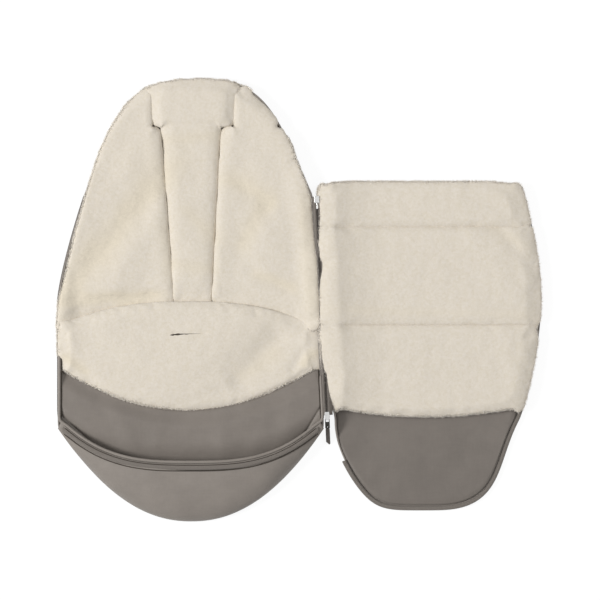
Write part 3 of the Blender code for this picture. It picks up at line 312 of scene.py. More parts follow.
# each paint: its material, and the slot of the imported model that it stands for
paints = {
    "fleece": (fleeceMaterial(), "cream_fleece"),
    "tips": (litTipMaterial(), "cream_fleece"),
    "shell": (wovenMaterial("taupeShell", "shell", 0.0011, 0.62, 0.00010, 0.15), "taupe_shell_fabric"),
    "lining": (wovenMaterial("taupeLining", "lining", 0.0008, 0.52, 0.00008, 0.10), "taupe_lining_fabric"),
    # painted shade: a darker copy of the lining cloth for the cover
    "coverLining": (wovenMaterial("coverLining", "coverLining", 0.0008, 0.52, 0.00008, 0.10), "taupe_lining_fabric"),
    "tape": (herringboneMaterial(), "taupe_zip_tape"),
    "teeth": (teethMaterial(), "dark_zip_nylon"),
    "thread": (threadMaterial(), "taupe_zip_tape"),
    "crease": (creaseShadeMaterial(), "taupe_shell_fabric"),
    "silver": (metalMaterial("satinPlate", "silver", 0.34), "silver_metal"),
    "blackMetal": (metalMaterial("blackPlate", "blackMetal", 0.42), "black_metal"),
    "puller": (pullerMaterial(), "puller_webbing"),
}
print("materials ready:", len(paints))


def place(name, mesh, paint):
    material, slot = paints[paint]
    mesh.materials.clear()
    mesh.materials.append(material)
    obj = bpy.data.objects.new(name, mesh)
    bpy.context.scene.collection.objects.link(obj)
    return obj


# Sections joined in order into a skin. sections[i][j] is a point; a closed section joins its last point to
# its first, a closed path its last section to its first, and open paths get flat caps
def loft(name, sections, paint, closedSection=True, closedPath=False, flatUv=None, strip=False, merge=0.000002):
    count, size = len(sections), len(sections[0])
    grid = np.array([[tuple(p) for p in section] for section in sections])
    pathEnd = count if closedPath else count - 1
    sectionEnd = size if closedSection else size - 1
    stepU = np.linalg.norm(np.roll(grid, -1, axis=0) - grid, axis=2).mean(axis=1)
    lengthU = np.concatenate([[0.0], np.cumsum(stepU)])
    stepV = np.linalg.norm(np.roll(grid, -1, axis=1) - grid, axis=2)[count // 2]
    lengthV = np.concatenate([[0.0], np.cumsum(stepV)])
    bm = bmesh.new()
    uvLayer = bm.loops.layers.uv.new("cloth")
    verts = [[bm.verts.new(p) for p in section] for section in grid.tolist()]
    for i in range(pathEnd):
        for j in range(sectionEnd):
            corners = [(i, j), (i + 1, j), (i + 1, j + 1), (i, j + 1)]
            face = bm.faces.new([verts[a % count][b % size] for a, b in corners])
            for loop, (a, b) in zip(face.loops, corners):
                flat = flatUv is not None and flatUv(j)
                loop[uvLayer].uv = loop.vert.co.xy if flat else (lengthU[a], lengthV[b])
    if closedSection and not closedPath:
        for end in (0, count - 1):
            caps = [verts[end]]
            if strip:
                caps = [[verts[end][k] for k in (j, j + 1, size - 2 - j, size - 1 - j)] for j in range(size // 2 - 1)]
            for cap in caps:
                for loop in bm.faces.new(cap).loops:
                    loop[uvLayer].uv = loop.vert.co.xy
    bmesh.ops.remove_doubles(bm, verts=bm.verts[:], dist=merge)
    bmesh.ops.recalc_face_normals(bm, faces=bm.faces[:])
    mesh = bpy.data.meshes.new(name)
    bm.to_mesh(mesh)
    bm.free()
    mesh.shade_smooth()
    return place(name, mesh, paint)


# A sheet or pad from a grid function point(u, v, side), side 0 below and 1 above, closed round its border
def slab(name, point, across, along, paint):
    sections = []
    for v in along:
        upper = [point(u, v, 1) for u in across]
        lower = [point(u, v, 0) for u in reversed(across)]
        sections.append(upper + lower)
    return loft(name, sections, paint, strip=True)


def steps(count, low=0.0, high=1.0):
    return [lerp(low, high, n / count) for n in range(count + 1)]


# rings round a path: the tangent, the side and the up direction at each point
def pathFrames(path, closed=False):
    frames = []
    count = len(path)
    for n, p in enumerate(path):
        ahead = path[(n + 1) % count] if closed or n < count - 1 else p
        behind = path[n - 1] if closed or n > 0 else p
        tangent = (ahead - behind).normalized()
        side = tangent.cross(upward).normalized()
        frames.append((p, tangent, side, side.cross(tangent).normalized()))
    return frames


# a round length of cord or shade; sizeAt(x) may change its thickness along it
def tube(name, path, radius, paint, sides, ripple=0.0, squash=1.0, sizeAt=None):
    sections = []
    for n, (p, tangent, side, up) in enumerate(pathFrames(path)):
        end = min(n, len(path) - 1 - n)
        size = radius * (0.55 if end == 0 else 0.88 if end == 1 else 1.0) * (sizeAt(p.x) if sizeAt else 1.0)
        ring = []
        for k in range(sides):
            angle = 2.0 * math.pi * k / sides
            swell = size * (1.0 + ripple * wander(p.x, p.y, angle, 0.004, 3.0))
            ring.append(p + side * swell * math.cos(angle) + up * swell * squash * math.sin(angle))
        sections.append(ring)
    return loft(name, sections, paint)


def resample(path, spacing, closed=False):
    points = [Vector(p) for p in path]
    if closed:
        points.append(points[0].copy())
    lengths = [0.0]
    for a, b in zip(points, points[1:]):
        lengths.append(lengths[-1] + (b - a).length)
    count = max(2, round(lengths[-1] / spacing))
    made, at = [], 0
    for n in range(count if closed else count + 1):
        goal = lengths[-1] * n / count
        while at < len(points) - 2 and lengths[at + 1] < goal:
            at += 1
        share = (goal - lengths[at]) / max(1e-9, lengths[at + 1] - lengths[at])
        made.append(points[at].lerp(points[at + 1], share))
    return made


def relax(path, times, closed=True):
    for _ in range(times):
        count = len(path)
        made = []
        for n, p in enumerate(path):
            if closed or 0 < n < count - 1:
                made.append((path[n - 1] + p * 2.0 + path[(n + 1) % count]) / 4.0)
            else:
                made.append(p)
        path = made
    return path


base = {
    "halfWidth": 0.2705,
    "shoulderHalf": 0.1995,
    "headMiddle": 0.0075,
    "shoulderY": 0.284,
    "headBow": 0.158,
    "headPower": 3.4,
    "cornerY": -0.256,
    "toeBow": 0.188,
    "toePower": 2.15,
    "sidePower": 1.3,
    "wall": 0.0325,
    "headWall": 0.0240,
    "toeWall": 0.0085,
    "wallThick": 0.0040,
    "bottomRound": 0.0065,
    "floorTop": 0.0128,
    "middle": (-0.004, 0.0),
}
hinge = next(j for j in frame["joints"] if j["name"] == "cover_fold")
zipMiddle = Vector(hinge["pos_m"])
zipAlong = -Vector(hinge["axis"]).normalized()
zipAcross = zipAlong.cross(upward)
closure = {"halfLength": 0.21925, "edgeGap": 0.0070, "coverGap": 0.0090, "chainStart": 0.0275,
           "tapeThick": 0.0008, "tapeDrop": 0.0004, "topGap": 0.0015, "footGap": 0.004, "teethAcross": 0.0010,
           "rowShift": 0.00085, "stitchAcross": -0.0045, "stitchRise": 0.0006, "bendStart": 0.0035, "bendEnd": 0.0088}
zipTopY = (zipMiddle + zipAlong * closure["halfLength"]).y


def zipPlace(across, along, height=0.0):
    return zipMiddle + zipAcross * across + zipAlong * along + upward * height


def zipX(y):
    return zipMiddle.x + (y - zipMiddle.y) * zipAlong.x / zipAlong.y


def leftEdge(y, inset=0.0):
    most = base["halfWidth"] - base["shoulderHalf"] + base["headMiddle"]
    return inset + most * (max(0.0, y) / base["shoulderY"]) ** base["sidePower"] - base["halfWidth"]


def rightEdge(y, inset=0.0):
    if y <= zipTopY:
        return zipX(y) - closure["edgeGap"] - inset
    share = (y - zipTopY) / (base["shoulderY"] - zipTopY)
    return lerp(zipX(zipTopY) - closure["edgeGap"], base["headMiddle"] + base["shoulderHalf"], share) - inset


def wallHeight(y):
    if y > zipTopY:
        return lerp(base["wall"], base["headWall"], smooth((y - zipTopY) / (base["shoulderY"] - zipTopY)))
    return lerp(base["wall"], base["toeWall"], smooth((base["cornerY"] - y) / base["toeBow"] * 2.0))


def baseArc(share, endY, bow, power, inset):
    x = lerp(leftEdge(endY, inset), rightEdge(endY, inset), (share + 1.0) / 2.0)
    return Vector((x, endY + bow * (1.0 - abs(share) ** power), 0.0))


def toeArc(share, inset=0.0):
    return baseArc(share, base["cornerY"], inset - base["toeBow"], base["toePower"], inset)


def baseOutline(spacing):
    head = []
    for s in steps(60, -1.0, 1.0):
        share = math.copysign(abs(s) ** 0.6, s)
        y = base["shoulderY"] + base["headBow"] * (1.0 - abs(share) ** base["headPower"])
        head.append(Vector((base["headMiddle"] + share * base["shoulderHalf"], y, 0.0)))
    right = [Vector((rightEdge(y), y, 0.0)) for y in steps(50, base["shoulderY"], base["cornerY"])]
    toe = [toeArc(s) for s in steps(60, 1.0, -1.0)]
    left = [Vector((leftEdge(y), y, 0.0)) for y in steps(50, base["cornerY"], base["shoulderY"])]
    return relax(resample(head + right[1:] + toe[1:] + left[1:-1], spacing, closed=True), 8)


# how deep a place lies inside a closed line of points that runs clockwise
def depthInside(line, x, y):
    away = np.array((x, y)) - line
    n = int(np.argmin((away ** 2).sum(axis=1)))
    along = line[(n + 1) % len(line)] - line[n - 1]
    return float((along[1] * away[n][0] - along[0] * away[n][1]) / np.linalg.norm(along))


baseLine = np.array([tuple(p.xy) for p in baseOutline(0.0015)])


shellForm = {
    "spacing": 0.0034,
    "bulge": 0.0003,
    "pucker": 0.0004,
    "lean": 0.0012,
    "puckerSize": 0.020,
    "roll": 0.0012,
    "tuck": 0.0026,
}


def shellBody(name, outline, heightAt, tuckAt, form):
    centre = Vector((*form["middle"], 0.0))
    wallThick = form["wallThick"]
    sections = []
    for p, tangent, side, up in pathFrames(outline, closed=True):
        height = heightAt(p.x, p.y)
        outward = side if (p + side * 0.01 - centre).length > (p - centre).length else -side
        corner = min(form["bottomRound"], height * 0.6)
        section = []
        tuck = shellForm["tuck"] * tuckAt(p.x, p.y)

        def add(offset, z):
            spot = p + outward * (offset - tuck)
            section.append(Vector((spot.x, spot.y, z)))

        def addInside(share, z):
            spot = centre.lerp(p - outward * (form["bottomRound"] + wallThick), share)
            section.append(Vector((spot.x, spot.y, z)))

        for share in (0.0, 0.3, 0.6, 0.85, 1.0):
            addInside(share, 0.0)
        for angle in steps(4, 0.0, math.pi / 2.0)[1:]:
            add(corner * (math.sin(angle) - 1.0) - shellForm["lean"], corner * (1.0 - math.cos(angle)))
        for share in (0.12, 0.25, 0.4, 0.55, 0.7, 0.85):
            z = lerp(corner, height - shellForm["roll"], share)
            swell = shellForm["bulge"] * math.sin(math.pi * share) * clamp(height / base["wall"])
            gather = shellForm["pucker"] * wander(p.x, p.y, z * 0.3, shellForm["puckerSize"], 1.0)
            fine = 0.4 * shellForm["pucker"] * wander(p.x, p.y, z, shellForm["puckerSize"] * 0.35, 5.0)
            add(swell + (gather + fine) * (0.35 + share) - shellForm["lean"] * (1.0 - share), z)
        top = height - shellForm["roll"]
        for angle in steps(6, 0.0, math.pi):
            add(wallThick / 2.0 * math.cos(angle) - wallThick / 2.0, top + shellForm["roll"] * math.sin(angle))
        low = min(form["floorTop"], height * 0.7)
        add(-wallThick, lerp(top, low, 0.5))
        add(-wallThick, low + 0.001)
        for share in (1.0, 0.8, 0.5, 0.0):
            addInside(share, low)
        sections.append(section)
    count = len(sections[0])
    return loft(name, sections, "shell", closedSection=False, closedPath=True,
                flatUv=lambda j: j < 4 or j > count - 6)


# A stadium-shaped slot from foot to head: its outline with a given half width
def slotOutline(foot, head, half, count=10):
    along = (head - foot).normalized()
    side = Vector((-along.y, along.x, 0.0))
    points = []
    for centre, start in ((head, 0.0), (foot, math.pi)):
        for angle in steps(count, start, start + math.pi):
            points.append(centre - side * -half * math.cos(angle) + along * half * math.sin(angle))
    return points


def slotEnds(node, lean):
    low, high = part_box(node)
    half = min(high.x - low.x, high.y - low.y, 0.0094) / 2.0
    if lean == 0:
        y = (low.y + high.y) / 2.0
        return Vector((low.x + half, y, 0.0)), Vector((high.x - half, y, 0.0)), half
    foot = Vector((high.x - half if lean < 0 else low.x + half, low.y + half, 0.0))
    head = Vector((low.x + half if lean < 0 else high.x - half, high.y - half, 0.0))
    return foot, head, half


slotLeans = {"left_harness_slot_binding": -1, "right_harness_slot_binding": 1, "crotch_slot_binding": 0}
slotLines = {node: slotEnds(node, lean) for node, lean in slotLeans.items()}


def cutSlot(obj, foot, head, half, low, high):
    outline = slotOutline(foot, head, half)
    sections = [[Vector((p.x, p.y, z)) for p in outline] for z in (low, high)]
    cutter = loft("slotCutter", sections, "shell")
    modifier = obj.modifiers.new("slot", "BOOLEAN")
    modifier.operation = "DIFFERENCE"
    modifier.solver = "EXACT"
    modifier.object = cutter
    settle(obj)
    bpy.data.objects.remove(cutter, do_unlink=True)


def settle(obj):
    mesh = bpy.data.meshes.new_from_object(obj.evaluated_get(bpy.context.evaluated_depsgraph_get()))
    obj.modifiers.clear()
    old = obj.data
    obj.data = mesh
    bpy.data.meshes.remove(old)


# how far inside the outline the pile ends, at heights along the left and the right side
bare = {
    "left": ((-0.160, 0.0030), (-0.124, 0.0012), (-0.106, -0.0022), (-0.010, -0.0022), (0.016, 0.0010), (0.045, 0.0036),
             (0.070, 0.0044), (0.120, 0.0038), (0.200, 0.0030), (0.250, 0.0008), (0.290, -0.0008)),
    "right": ((-0.154, -0.0010), (-0.142, -0.0062), (-0.030, -0.0060), (0.060, -0.0052), (0.090, -0.0046),
              (0.120, -0.0036), (0.160, -0.0014), (0.200, 0.0016), (0.240, 0.0020), (0.290, -0.0010), (0.340, -0.0030),
              (0.380, -0.0026)),
}


def bareAt(x, y):
    return read(bare["left" if x < 0.0 else "right"], y)


# the wall stands back where the pile covers it
def baseTuck(x, y):
    return smooth((0.0014 - bareAt(x, y)) / 0.0016) * smooth((y + 0.12) / 0.02) * (x < 0.0 or y > zipTopY)


def makeBaseShell():
    shell = shellBody("baseShell", baseOutline(shellForm["spacing"]), lambda x, y: wallHeight(y), baseTuck, base)
    for foot, head, half in slotLines.values():
        cutSlot(shell, foot, head, half + 0.0003, -0.002, 0.02)
    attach(shell, "base")
    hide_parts("base_outer_shell", "back_wadding")


# the slots' fabric bindings: straight through the layers, their lips drawn together like a buttonhole's
def makeBindings():
    for node, (foot, head, half) in slotLines.items():
        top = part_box(node)[1].z
        pinch = 0.05 if node.startswith("crotch") else 0.6
        profile = [(1.0, 0.0, 0.0006), (1.0, -0.0006, 0.0003), (1.0, -0.0010, 0.0008), (1.0, -0.0010, 0.45 * top),
                   (pinch, -0.0008, top - 0.0006), (pinch, -0.0002, top), (pinch, 0.0004, top - 0.0004),
                   (1.0, 0.0, 0.45 * top)]
        count = len(slotOutline(foot, head, 1.0))
        sections = []
        for n in range(count):
            section = []
            for share, out, z in profile:
                section.append(slotOutline(foot, head, half * share + out)[n] + upward * z)
            sections.append(section)
        obj = loft(node.replace("_", " ").title().replace(" ", ""), sections, "lining", closedPath=True)
        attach(obj, "base")
        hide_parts(node)


pile = {
    "voxel": 0.0045,
    "pressure": 4.0,
    "frames": 20,
    "nap": 0.00022,
    "napSize": 0.006,
    "clump": 0.0006,
    "clumpSize": 0.020,
    "fuzzBand": 0.009,
    "seamWidth": 0.0020,
    "cadEdgeRadius": 0.016,
    "cadEdgeShare": 0.42,
    "borderPuff": 0.0030,
    "puffWidth": 0.018,
    "puffAcross": ((-0.05, 0.1), (0.24, 0.15), (0.28, 0.3), (0.34, 0.1)),
    "borderBlend": 0.003,
    "ragged": 0.0007,
    "leastRun": 0.016,
    "spreadRise": 0.005,
    "limit": 0.005,
    "across": 0.0008,
    "merge": 0.00002,
    "batch": 2000,
}
# edge forms: how wide the border rounds off, how much of the thickness is left at the very edge, and how
# far above the floor of the pad the pile starts to spread past its own border
edges = {
    "outer": {"radius": 0.006, "share": 0.90, "from": 0.0},
    "seam": {"radius": 0.004, "share": 1.04, "from": 0.002},
    "slit": {"radius": 0.008, "share": 0.90, "from": 0.002},
    "under": {"radius": 0.012, "share": 0.88, "from": 0.001},
    "step": {"radius": 0.004, "share": 0.88, "from": 0.002},
    "closed": {"radius": 0.004, "share": 0.99, "from": 0.001},
    "hem": {"radius": 0.016, "share": 0.76, "from": 0.001},
}


def boundaryPoints(mesh, spacing=0.0015):
    bm = bmesh.new()
    bm.from_mesh(mesh)
    bmesh.ops.remove_doubles(bm, verts=bm.verts[:], dist=pile["merge"])
    low = min(v.co.z for v in bm.verts)
    points = []
    for e in bm.edges:
        a, b = e.verts
        if a.co.z < low + 0.0002 and b.co.z < low + 0.0002 and len(e.link_faces) == 2:
            flat = [abs(f.normal.z) > 0.9 and f.calc_center_median().z < low + 0.0004 for f in e.link_faces]
            if flat[0] != flat[1]:
                count = max(1, int(e.calc_length() / spacing))
                points += [a.co.lerp(b.co, n / count).xy for n in range(count)]
    bm.free()
    return np.array([tuple(p) for p in points]), low


# blown up as cloth, and held near its solid: up by the limit, sideways by a little
def simulate(obj, limit):
    before = np.array([tuple(v.co) for v in obj.data.vertices])
    cloth = obj.modifiers.new("cloth", "CLOTH")
    cloth.settings.use_pressure = True
    cloth.settings.uniform_pressure_force = pile["pressure"]
    cloth.settings.effector_weights.gravity = 0.0
    cloth.settings.quality = 4
    cloth.collision_settings.use_collision = False
    cloth.point_cache.frame_start = 1
    cloth.point_cache.frame_end = pile["frames"]
    for frameNumber in range(1, pile["frames"] + 1):
        bpy.context.scene.frame_set(frameNumber)
    settle(obj)
    after = np.array([tuple(v.co) for v in obj.data.vertices])
    move = after - before
    flat = np.linalg.norm(move[:, :2], axis=1)
    move[:, :2] *= np.minimum(1.0, pile["across"] / np.maximum(flat, 1e-9))[:, None]
    move[:, 2] = np.clip(move[:, 2], -0.0002, limit)
    obj.data.vertices.foreach_set("co", (before + move).ravel())
    bpy.context.scene.frame_set(1)


# A fleece pad from its solid: remeshed, blown up as cloth, then its borders, folds and pile are shaped.
# edgeAt(x, y) names the edge form of a border point, spread(kind, x, y) how far the pile reaches past it,
# and the function after fold, of the same arguments, how much painted shade darkens the line where two
# pieces meet there, for the shade in the crease between them. fold and lift raise the pile, and closed(x, y)
# levels it where its lips meet over a slot
def makePad(name, node, body, edgeAt, spread, fold, creaseShade, limit=pile["limit"], lift=None, closed=None):
    source = nodes[node].data
    border, low = boundaryPoints(source)
    kinds = [edgeAt(x, y) for x, y in border]
    border = border[[kind != "slot" for kind in kinds]]
    kinds = [kind for kind in kinds if kind != "slot"]
    forms = np.array([
        (edges[kind]["radius"], edges[kind]["share"], edges[kind]["from"], spread(kind, x, y), kind == "outer",
         creaseShade(kind, x, y))
        for kind, (x, y) in zip(kinds, border)
    ])
    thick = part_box(node)[1].z - low
    bm = bmesh.new()
    bm.from_mesh(source)
    bmesh.ops.remove_doubles(bm, verts=bm.verts[:], dist=pile["merge"])
    mesh = bpy.data.meshes.new(name)
    bm.to_mesh(mesh)
    bm.free()
    pad = place(name, mesh, "fleece")
    remesh = pad.modifiers.new("remesh", "REMESH")
    remesh.mode = "VOXEL"
    remesh.voxel_size = pile["voxel"]
    settle(pad)
    simulate(pad, limit)
    soften = pad.modifiers.new("soften", "SMOOTH")
    soften.factor = 0.5
    soften.iterations = 2
    finer = pad.modifiers.new("finer", "SUBSURF")
    finer.levels = 1
    finer.render_levels = 1
    settle(pad)
    count = len(pad.data.vertices)
    co = np.empty(count * 3)
    pad.data.vertices.foreach_get("co", co)
    co = co.reshape(-1, 3)
    normals = np.array([tuple(n.vector) for n in pad.data.vertex_normals])
    distance = np.empty(count)
    form = np.empty((count, 6))
    valley = np.empty(count)
    for start in range(0, count, pile["batch"]):
        part = slice(start, start + pile["batch"])
        gaps = np.linalg.norm(co[part, None, :2] - border[None, :, :], axis=2)
        distance[part] = gaps.min(axis=1)
        weights = np.exp((distance[part, None] - gaps) / pile["borderBlend"])
        form[part] = (weights @ forms) / weights.sum(axis=1)[:, None]
    level = thick
    if closed is not None:
        ring = [z - low for x, y, z in co if z - low > 0.5 * thick and 0.02 < closed(x, y) < 0.5]
        level = sum(ring) / len(ring)
    for n in range(count):
        x, y, z = co[n]
        d = distance[n]
        radius, share, rise, reach, outer = form[n][:5]
        cadCrown = lerp(pile["cadEdgeShare"], 1.0, math.sqrt(1.0 - (1.0 - clamp(d / pile["cadEdgeRadius"])) ** 2))
        crown = lerp(share, 1.0, math.sqrt(1.0 - (1.0 - clamp(d / radius)) ** 2))
        top = clamp((z - low) / (thick * cadCrown))
        height = (z - low) * crown / cadCrown
        if closed is not None and z - low > 0.3 * thick:
            height = lerp(height, level, closed(x, y))
        nap = pile["nap"] * wander(x, y, z, pile["napSize"], 7.0)
        clump = pile["clump"] * wander(x, y, z, pile["clumpSize"], 2.0)
        puff = pile["borderPuff"] * outer * bell(d, pile["puffWidth"]) * read(pile["puffAcross"], x)
        # painted shade: how much warm shade of a fold valley is painted here
        valley[n] = warmShadeAt(x, y)
        height += (fold(x, y) + nap + clump + puff) * smooth((top - 0.25) / 0.5)
        if lift is not None:
            height += lift(x, y) * smooth((top - 0.1) / 0.6)
        ragged = pile["ragged"] * wander(x, y, 0.0, 0.007, 3.0) + pile["ragged"] * wander(x, y, 0.0, 0.021, 8.0)
        reach += ragged * (1.0 if share < edges["hem"]["share"] + 0.05 else outer)
        run = max(pile["leastRun"], 1.7 * reach)
        push = reach * (1.0 - smooth(d / run)) * smooth((height - rise) / pile["spreadRise"])
        co[n, 0] += normals[n, 0] * push
        co[n, 1] += normals[n, 1] * push
        co[n, 2] = low + max(0.0, height)
    pad.data.vertices.foreach_set("co", co.ravel())
    relaxSides = pad.modifiers.new("relax", "SMOOTH")
    relaxSides.factor = 0.35
    relaxSides.iterations = 1
    settle(pad)
    loose = np.clip(form[:, 4] + (form[:, 1] < edges["hem"]["share"] + 0.04), 0.0, 1.0)
    for label, values in (
        ("fuzz", loose * np.clip(1.6 - distance / pile["fuzzBand"], 0.0, 1.0)),
        # painted shade: darkens the pile near borders where two pieces meet
        ("seam", np.clip(form[:, 5] * np.exp(-((distance / pile["seamWidth"]) ** 2)), 0.0, 1.0)),
        ("valley", valley),
    ):
        pad.data.attributes.new(label, "FLOAT", "POINT").data.foreach_set("value", values)
    pad.data.shade_smooth()
    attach(pad, body)
    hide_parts(node)
    print("pad", name, len(pad.data.polygons))
    return pad


class Tree:
    def __init__(self, name, inputs):
        self.group = bpy.data.node_groups.new(name, "GeometryNodeTree")
        face = self.group.interface
        face.new_socket("Geometry", in_out="INPUT", socket_type="NodeSocketGeometry")
        self.sockets = {}
        for label, (kind, value) in inputs.items():
            made = face.new_socket(label, in_out="INPUT", socket_type=kind)
            made.default_value = value
            self.sockets[label] = made.identifier
        face.new_socket("Geometry", in_out="OUTPUT", socket_type="NodeSocketGeometry")
        self.start = self.group.nodes.new("NodeGroupInput")
        self.end = self.group.nodes.new("NodeGroupOutput")

    def input(self, label):
        return self.start.outputs[label]

    def node(self, kind, settings, values, output=0):
        made = self.group.nodes.new(kind)
        for key, value in settings.items():
            setattr(made, key, value)
        for key, value in values.items():
            if isinstance(value, bpy.types.NodeSocket):
                self.group.links.new(value, made.inputs[key])
            else:
                made.inputs[key].default_value = value
        return made.outputs[output]

    def math(self, operation, a, b):
        return self.node("ShaderNodeMath", {"operation": operation}, {0: a, 1: b})

    def randomValue(self, low, high, seed):
        return self.node("FunctionNodeRandomValue", {"data_type": "FLOAT"}, {2: low, 3: high, "Seed": seed}, 1)

    def close(self, geometry, paint):
        real = self.node("GeometryNodeRealizeInstances", {}, {"Geometry": geometry})
        shown = self.node("GeometryNodeSetMaterial", {}, {"Geometry": real, "Material": paints[paint][0]})
        self.group.links.new(shown, self.end.inputs[0])
        return self

    # the tree's result on an object, as a plain mesh under a new name
    def run(self, name, source, paint, body, **values):
        modifier = source.modifiers.new("grow", "NODES")
        modifier.node_group = self.group
        for label, value in values.items():
            modifier[self.sockets[label]] = value
        source.update_tag()
        mesh = bpy.data.meshes.new_from_object(source.evaluated_get(bpy.context.evaluated_depsgraph_get()))
        source.modifiers.remove(modifier)
        mesh.shade_smooth()
        obj = place(name, mesh, paint)
        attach(obj, body)
        print("grown", name, len(mesh.polygons))
        return obj


tuft = {
    "spacing": 0.0014,
    "length": 0.0044,
    "width": 0.00080,
    "leastLean": 0.45,
    "mostLean": 1.25,
    "curl": 0.4,
    "seed": 4,
}


# short curled tufts where the pile frays over a pad's borders, lying every way
def tuftTree():
    tree = Tree("fleeceTufts", {
        "Density": ("NodeSocketFloat", 1.0 / tuft["spacing"] ** 2),
        "Length": ("NodeSocketFloat", tuft["length"]),
        "Width": ("NodeSocketFloat", tuft["width"]),
        "Least Lean": ("NodeSocketFloat", tuft["leastLean"]),
        "Most Lean": ("NodeSocketFloat", tuft["mostLean"]),
        "Curl": ("NodeSocketFloat", tuft["curl"]),
        "Seed": ("NodeSocketInt", tuft["seed"]),
    })
    normal = tree.node("GeometryNodeInputNormal", {}, {})
    up = tree.node("ShaderNodeSeparateXYZ", {}, {0: normal}, 2)
    showing = tree.node("FunctionNodeCompare", {"data_type": "FLOAT", "operation": "GREATER_THAN"}, {0: up, 1: -0.1})
    aside = tree.node("ShaderNodeMapRange", {}, {"Value": up, "From Min": 0.80, "From Max": 0.45})
    fuzz = tree.node("GeometryNodeInputNamedAttribute", {"data_type": "FLOAT"}, {"Name": "fuzz"})
    thick = tree.math("MULTIPLY", tree.math("MULTIPLY", fuzz, tree.input("Density")), aside)
    points = tree.node("GeometryNodeDistributePointsOnFaces", {"distribute_method": "RANDOM"}, {
        "Mesh": tree.input("Geometry"), "Selection": showing, "Density": thick,
        "Seed": tree.input("Seed"),
    })
    turned = points.node.outputs["Rotation"]
    cone = tree.node("GeometryNodeMeshCone", {"fill_type": "NGON"}, {
        "Vertices": 3, "Side Segments": 2, "Radius Top": 0.00012, "Radius Bottom": tree.input("Width"),
        "Depth": tree.input("Length"),
    })
    where = tree.node("GeometryNodeInputPosition", {}, {})
    height = tree.node("ShaderNodeSeparateXYZ", {}, {0: where}, 2)
    share = tree.math("DIVIDE", height, tree.input("Length"))
    reach = tree.math("MULTIPLY", tree.math("MULTIPLY", share, share), tree.input("Length"))
    bend = tree.math("MULTIPLY", reach, tree.input("Curl"))
    drop = tree.math("MULTIPLY", bend, -0.45)
    offset = tree.node("ShaderNodeCombineXYZ", {}, {0: bend, 2: drop})
    bent = tree.node("GeometryNodeSetPosition", {}, {"Geometry": cone, "Offset": offset})
    blade = tree.node("GeometryNodeTransform", {}, {"Geometry": bent, "Scale": (1.0, 0.42, 1.0)})
    lean = tree.randomValue(tree.input("Least Lean"), tree.input("Most Lean"), 11)
    around = tree.randomValue(0.0, 2.0 * math.pi, 17)
    angles = tree.node("ShaderNodeCombineXYZ", {}, {0: lean, 2: around})
    turn = tree.node("FunctionNodeEulerToRotation", {}, {0: angles})
    rotation = tree.node("FunctionNodeRotateRotation", {"rotation_space": "LOCAL"}, {0: turned, 1: turn})
    size = tree.randomValue(0.65, 1.35, 23)
    made = tree.node("GeometryNodeInstanceOnPoints", {}, {
        "Points": points, "Instance": blade, "Rotation": rotation, "Scale": size,
    })
    return tree.close(made, "tips")


# what follows a line: the instance's X runs along it and its Z along the stored "up"
def rowTree(name, paint, makeInstance, form):
    tree = Tree(name, {label: ("NodeSocketFloat", value) for label, value in form.items()})
    line = tree.node("GeometryNodeMeshToCurve", {}, {"Mesh": tree.input("Geometry")})
    points = tree.node("GeometryNodeResampleCurve", {"mode": "LENGTH"}, {
        "Curve": line, "Length": tree.input("Pitch"),
    })
    tangent = tree.node("GeometryNodeInputTangent", {}, {})
    up = tree.node("GeometryNodeInputNamedAttribute", {"data_type": "FLOAT_VECTOR"}, {"Name": "up"})
    first = tree.node("FunctionNodeAlignRotationToVector", {"axis": "Z"}, {"Vector": up})
    turn = tree.node("FunctionNodeAlignRotationToVector", {"axis": "X", "pivot_axis": "Z"}, {
        "Rotation": first, "Vector": tangent,
    })
    made = tree.node("GeometryNodeInstanceOnPoints", {}, {
        "Points": points, "Instance": makeInstance(tree), "Rotation": turn,
    })
    return tree.close(made, paint)


def stitchShape(tree):
    ball = tree.node("GeometryNodeMeshUVSphere", {}, {"Segments": 6, "Rings": 5, "Radius": 0.5})
    size = tree.node("ShaderNodeCombineXYZ", {}, {
        0: tree.input("Long"), 1: tree.input("Thick"), 2: tree.input("Thick"),
    })
    return tree.node("GeometryNodeTransform", {}, {"Geometry": ball, "Scale": size})


# one loop of a zip coil: a short bar across the tape with a rounded head
def toothShape(tree):
    bar = tree.node("GeometryNodeMeshCylinder", {"fill_type": "NGON"}, {
        "Vertices": 8, "Side Segments": 1, "Radius": tree.input("Thick"), "Depth": tree.input("Long"),
    })
    laid = tree.node("GeometryNodeTransform", {}, {
        "Geometry": bar, "Rotation": (math.pi / 2.0, 0.0, 0.0), "Scale": (1.0, 1.0, 1.25),
    })
    ball = tree.node("GeometryNodeMeshUVSphere", {}, {"Segments": 8, "Rings": 5, "Radius": tree.input("Head")})
    end = tree.node("ShaderNodeCombineXYZ", {}, {1: tree.math("MULTIPLY", tree.input("Long"), tree.input("Side"))})
    head = tree.node("GeometryNodeTransform", {}, {
        "Geometry": ball, "Translation": end, "Scale": (0.9, 1.0, 1.2),
    })
    both = tree.group.nodes.new("GeometryNodeJoinGeometry")
    tree.group.links.new(laid, both.inputs[0])
    tree.group.links.new(head, both.inputs[0])
    return both.outputs[0]


growTufts = tuftTree()
stitch = {"Pitch": 0.0032, "Long": 0.0032 * 0.72, "Thick": 0.00062}
tooth = {"Pitch": 0.0017, "Long": 0.0022, "Thick": 0.00042, "Head": 0.00072, "Side": 0.5}
growStitches = rowTree("stitchRow", "thread", stitchShape, stitch)
growTeeth = rowTree("zipTeeth", "teeth", toothShape, tooth)


